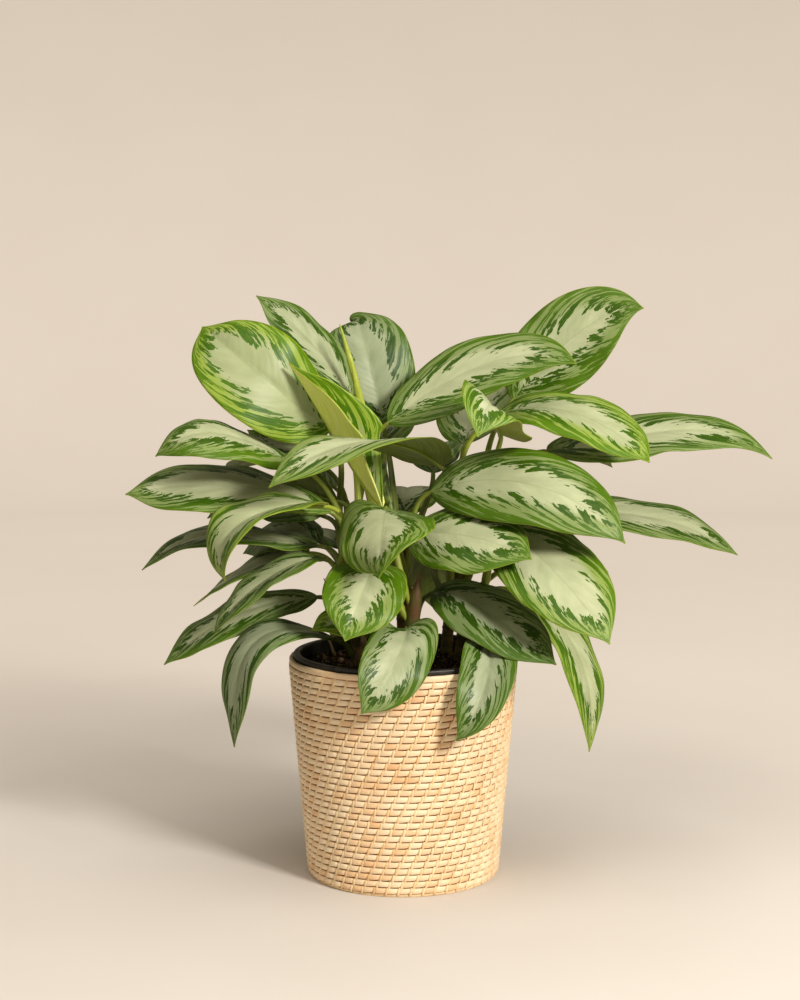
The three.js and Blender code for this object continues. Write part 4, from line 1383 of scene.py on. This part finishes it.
# %% [markdown]
# ## The youngest leaf
#
# An aglaonema grows from the heads of its canes, and each new leaf comes up rolled into a spear. It is a
# bar whose radius grows a little with the angle round it and then drops back, so it has a seam that winds
# up along it, as a rolled blade has. Its foot is greener, and the pattern of the upper side shows through.

# %% The youngest leaf, still rolled up
SPEAR = [(-4, 8, 392), (-18, 14, 450), (-40, 22, 520), (-57, 17, 590), (-75, 10, 657)]
SPEAR_THICKNESS = [(0, 5.5), (0.2, 5), (0.36, 8.5), (0.44, 8.5), (0.58, 5), (0.8, 4), (0.95, 1.8), (1, 0.8)]
SPEAR_TURNS = 2.2
SEAM_STEP = 0.22


def through_all(points):
    """A smooth curve through any number of points."""
    made = []
    last = len(points) - 1
    for number in range(last):
        before, start, end, after = (points[min(max(number + step, 0), last)] for step in (-1, 0, 1, 2))
        leave, arrive = start + (end - before) / 6, end - (after - start) / 6
        made += geometry.interpolate_bezier(start, leave, arrive, end, 16)
    apart = [step == 0 or (point - made[step - 1]).length > MERGE for step, point in enumerate(made)]
    return Way([point for point, keep in zip(made, apart) if keep])


def step_by_step(stops, share):
    """A value read from a short list of (share, value) stops, with smooth steps between them."""
    for (low, first), (high, second) in zip(stops, stops[1:]):
        if share <= high:
            return lerp(first, second, eased(share, low, high))
    return stops[-1][1]


def spear_radius(along, angle):
    seam = (angle / math.tau + SPEAR_TURNS * along) % 1
    return step_by_step(SPEAR_THICKNESS, along) * MM * (1 - SEAM_STEP / 2 + SEAM_STEP * seam)


def spear_finish():
    """Green where it is low, and fresh yellow-green with darker blotches above."""
    finish = Finish("leaf_spear_skin", Roughness=0.4)
    along, across = finish.sheet_place()
    turn = finish.add_times(along, SPEAR_TURNS, across)
    blotch = finish.noise(finish.vector(finish.times(along, 22), finish.times(turn, 5), 0), 1, 3)
    green = finish.tones(blotch, (0.44, 66, 84, 18), (0.52, 118, 136, 54))
    fresh = finish.tones(blotch, (0.3, 150, 166, 44), (0.7, 190, 200, 86))
    colour = finish.mix(finish.band(along, 0.52, 0.42), fresh, green)
    return finish.paint(Base_Color=colour, Normal=finish.bump(blotch, 0.0005))


spear_way = through_all([Vector(point) * MM for point in SPEAR])
bm = bmesh.new()
bm.loops.layers.uv.new("UVMap")
add_bar(bm, spear_way, 120, 28, spear_radius)
finished(bm, "spear_rolled", [spear_finish()], ["leaf_spear"])
print("spear", round(spear_way.lengths[-1], 3), "m long")

# %% [markdown]
# ## The sheaths
#
# The foot of every stalk is a sheath that wraps the cane. Young ones are green, and old ones dry to a
# reddish brown and turn papery. Here three tapered bars close round the upper part of each cane and lean
# out past its head, so the feet of the stalks come out of something, instead of out of a bare rod.

# %% Sheaths round the heads of the canes
SHEATH_REACH = 0.018
SHEATH_START = 0.55
SHEATH_STEP_UP = 0.1
SHEATH_RADIUS = 8.6 * MM
SHEATH_THINNER = 0.4 * MM
SHEATH_END_RADIUS = 0.6 * MM
SHEATH_FIT = 0.94
SHEATHS_PER_CANE = 3


def sheath_finish():
    """Green where it is young, and reddish brown where it is old."""
    finish = Finish("sheath_skin", Roughness=0.55)
    place = finish.object_place()
    fibres = finish.noise(finish.stretched(place, (420, 420, 40)), 1, 3)
    age = finish.noise(place, 26, 3)
    share = finish.add_times(fibres, 0.35, finish.times(age, 0.65))
    greens = (0.38, 76, 86, 26), (0.47, 86, 78, 30)
    browns = (0.54, 96, 60, 34), (0.68, 136, 92, 58)
    colour = finish.tones(share, *greens, *browns)
    return finish.paint(Base_Color=colour, Normal=finish.bump(fibres, 0.0006))


def sheath_way(cane, lean, rise):
    """Up along the upper part of a cane, and on past its head in a slight lean."""
    points = [cane.at(lerp(SHEATH_START + rise, 1, step / 20)) for step in range(21)]
    ahead = (cane.along(1) + lean).normalized()
    points += [points[-1] + ahead * SHEATH_REACH * step / 12 for step in range(1, 13)]
    return Way(points)


def sheath_radius(wrap):
    def radius(along, angle):
        return wrap * (1 - eased(along, 0.35, 1) ** 1.5) * SHEATH_FIT + SHEATH_END_RADIUS
    return radius


sheath_skin = sheath_finish()
sheath_draw = random.Random(3)
for name in CANES:
    bm = bmesh.new()
    for number in range(SHEATHS_PER_CANE):
        angle = math.tau * (number + sheath_draw.uniform(-0.2, 0.2)) / SHEATHS_PER_CANE
        lean = Vector((math.cos(angle), math.sin(angle), 0)) * sheath_draw.uniform(0.05, 0.15)
        way = sheath_way(cane_way(name), lean, SHEATH_STEP_UP * number)
        add_bar(bm, way, 40, 16, sheath_radius(SHEATH_RADIUS - number * SHEATH_THINNER))
    finished(bm, name + "_sheath", [sheath_skin])
print("sheaths", SHEATHS_PER_CANE, "on each cane")

# %% [markdown]
# ## What lies on the soil
#
# A few dry stubs stand where old stalks broke off, and thin fibres lie on the soil. They are small, but
# they are what makes soil look used. They are bars again, with few sides.

# %% Dry stubs and a few fibres on the soil
STUBS = [((-83, 56), (-8, -2, 21), 2.2), ((-92, 24), (-5, 3, 12), 1.6), ((48, -84), (6, -4, 10), 1.7)]
STUB_SUNK = 0.004
FIBRES = 26
FIBRE_LENGTH = 0.018
FIBRE_RADIUS = 0.00035
FIBRE_LIFT = 0.0012
LITTER_STEPS = 8


def dry_finish():
    """Straw-coloured, with fine lines along it."""
    finish = Finish("dry_stub", Roughness=0.8)
    fibres = finish.noise(finish.stretched(finish.object_place(), (600, 600, 90)), 1, 3)
    colour = finish.tones(fibres, (0.3, 150, 118, 78), (0.7, 214, 190, 148))
    return finish.paint(Base_Color=colour, Normal=finish.bump(fibres, 0.0005))


bm = bmesh.new()
for (x, y), reach, thick in STUBS:
    foot = Vector((x * MM, y * MM, soil_height(x * MM, y * MM) - STUB_SUNK))
    head = foot + Vector(reach) * MM + Vector((0, 0, STUB_SUNK))
    way = Way([foot.lerp(head, step / LITTER_STEPS) for step in range(LITTER_STEPS + 1)])
    add_bar(bm, way, LITTER_STEPS, 10, lambda along, angle: thick * MM * (1 - 0.3 * along))
for _ in range(FIBRES):
    angle, away = crumb_draw.uniform(0, math.tau), soil_radius * crumb_draw.uniform(0.35, 0.93)
    turn, bend = crumb_draw.uniform(0, math.tau), crumb_draw.uniform(-2, 2)
    points = []
    for step in range(LITTER_STEPS + 1):
        share = step / LITTER_STEPS
        reach = FIBRE_LENGTH * (share - 0.5)
        x = math.cos(angle) * away + math.cos(turn + bend * share) * reach
        y = math.sin(angle) * away + math.sin(turn + bend * share) * reach
        points.append(Vector((x, y, soil_height(x, y) + FIBRE_LIFT)))
    add_bar(bm, Way(points), LITTER_STEPS, 5, lambda along, angle: FIBRE_RADIUS, Vector((0, 0, 1)))
finished(bm, "soil_litter", [dry_finish()])
print("stubs", len(STUBS), "and fibres", FIBRES)

# %% [markdown]
# ## The floor and the light
#
# The plant stands on a pale seamless paper that curves up into a backdrop, as in a photo studio. Both are
# turned profiles, so they look the same from every side. The lamp at the upper right gives the shadows, a
# large soft one above opens the tops of the leaves, and a weak one on the left fills the shaded side.
# A real studio lights its backdrop with lamps of its own. Here the paper glows a little instead, more the
# farther it lies from the plant. Close to the basket the glow is painted light that lightens the plant's
# shadow on the floor. The backdrop beyond the floor disc is hidden from bounced light, so that its glow
# doesn't wash out the leaves.

# %% The floor, curved up into a backdrop
FLOOR_RADIUS = 0.9
CURVE_START = 4.2
BACKDROP_RADIUS = 5.6
BACKDROP_HEIGHT = 5.0
GLOW_SPAN = 5
GLOW_LOST_HIGH_UP = 0.28
# the glow close to the basket is painted light that lightens the plant's shadow on the floor
GLOW_BY_DISTANCE = [
    (0.026, 0.03), (0.05, 0.12), (0.09, 0.19), (0.14, 0.22),
    (0.19, 0.3), (0.27, 0.39), (0.42, 0.44), (0.7, 0.5),
]


def paper_finish():
    """Warm white paper. Its glow grows with the distance from the plant, and fades high up."""
    finish = Finish("studio_paper", Roughness=0.9, Specular_IOR_Level=0.2, Emission_Color=(1, 0.85, 0.71, 1))
    place = finish.object_place()
    x, y, height = finish.parts_of(place)[:3]
    colour = finish.tones(finish.noise(place, 3), (0.3, 212, 205, 197), (0.7, 216, 210, 203))
    away = finish.math("SQRT", finish.add_times(x, x, finish.times(y, y)))
    near_floor = finish.parts_of(finish.ramp(finish.times(away, 1 / GLOW_SPAN), GLOW_BY_DISTANCE))[0]
    lost = finish.times(finish.band(height, 0.3, 3.2), GLOW_LOST_HIGH_UP)
    glow = finish.times(near_floor, finish.minus(1, lost))
    return finish.paint(Base_Color=colour, Emission_Strength=glow)


def stage_piece(name, profile, material):
    """A turned piece of the studio. It faces inwards, and isn't part of the plant."""
    bm = bmesh.new()
    turned(bm, profile, sides=96)
    if sum(face.normal.dot(face.calc_center_median() - Vector((0, 0, 2))) for face in bm.faces) > 0:
        bmesh.ops.reverse_faces(bm, faces=bm.faces[:])
    made = mesh_object(bm, name, [material])
    return made


paper = paper_finish()
curve = BACKDROP_RADIUS - CURVE_START
stage_piece("floor", [(0, 0), (FLOOR_RADIUS, 0)], paper)
bowl = arc((CURVE_START, curve), curve, -90, 0, 16)
backdrop = stage_piece("backdrop", [(FLOOR_RADIUS, 0)] + bowl + [(BACKDROP_RADIUS, BACKDROP_HEIGHT)], paper)
backdrop.visible_diffuse = False
backdrop.visible_glossy = False
print("floor and backdrop", BACKDROP_RADIUS * 2, "m across")

# %% The lamps
LAMP_COLOUR = (1.0, 0.95, 0.88)
WORLD_TONE = tone(255, 240, 214)
WORLD_STRENGTH = 0.24


def lamp(name, place, aim_height, size, power):
    """A square soft lamp at place that looks at the plant's axis at a height."""
    light = bpy.data.lights.new(name, "AREA")
    light.size = size
    light.energy = power
    light.color = LAMP_COLOUR
    made = bpy.data.objects.new(name, light)
    made.location = place
    made.rotation_euler = (Vector((0, 0, aim_height)) - Vector(place)).to_track_quat("-Z", "Y").to_euler()
    bpy.context.scene.collection.objects.link(made)


lamp("key", (1.75, -2.25, 1.80), 0.35, 0.6, 102)
lamp("top", (-0.2, -1.0, 2.9), 0.4, 2.0, 24)
lamp("fill", (-2.4, -2.2, 1.6), 0.4, 2.2, 10)
world = bpy.data.worlds.new("studio")
world.use_nodes = True
background = world.node_tree.nodes["Background"]
background.inputs["Color"].default_value = WORLD_TONE
background.inputs["Strength"].default_value = WORLD_STRENGTH
bpy.context.scene.world = world
bpy.context.scene.view_settings.view_transform = "Standard"
print("lamps", len(bpy.data.lights))
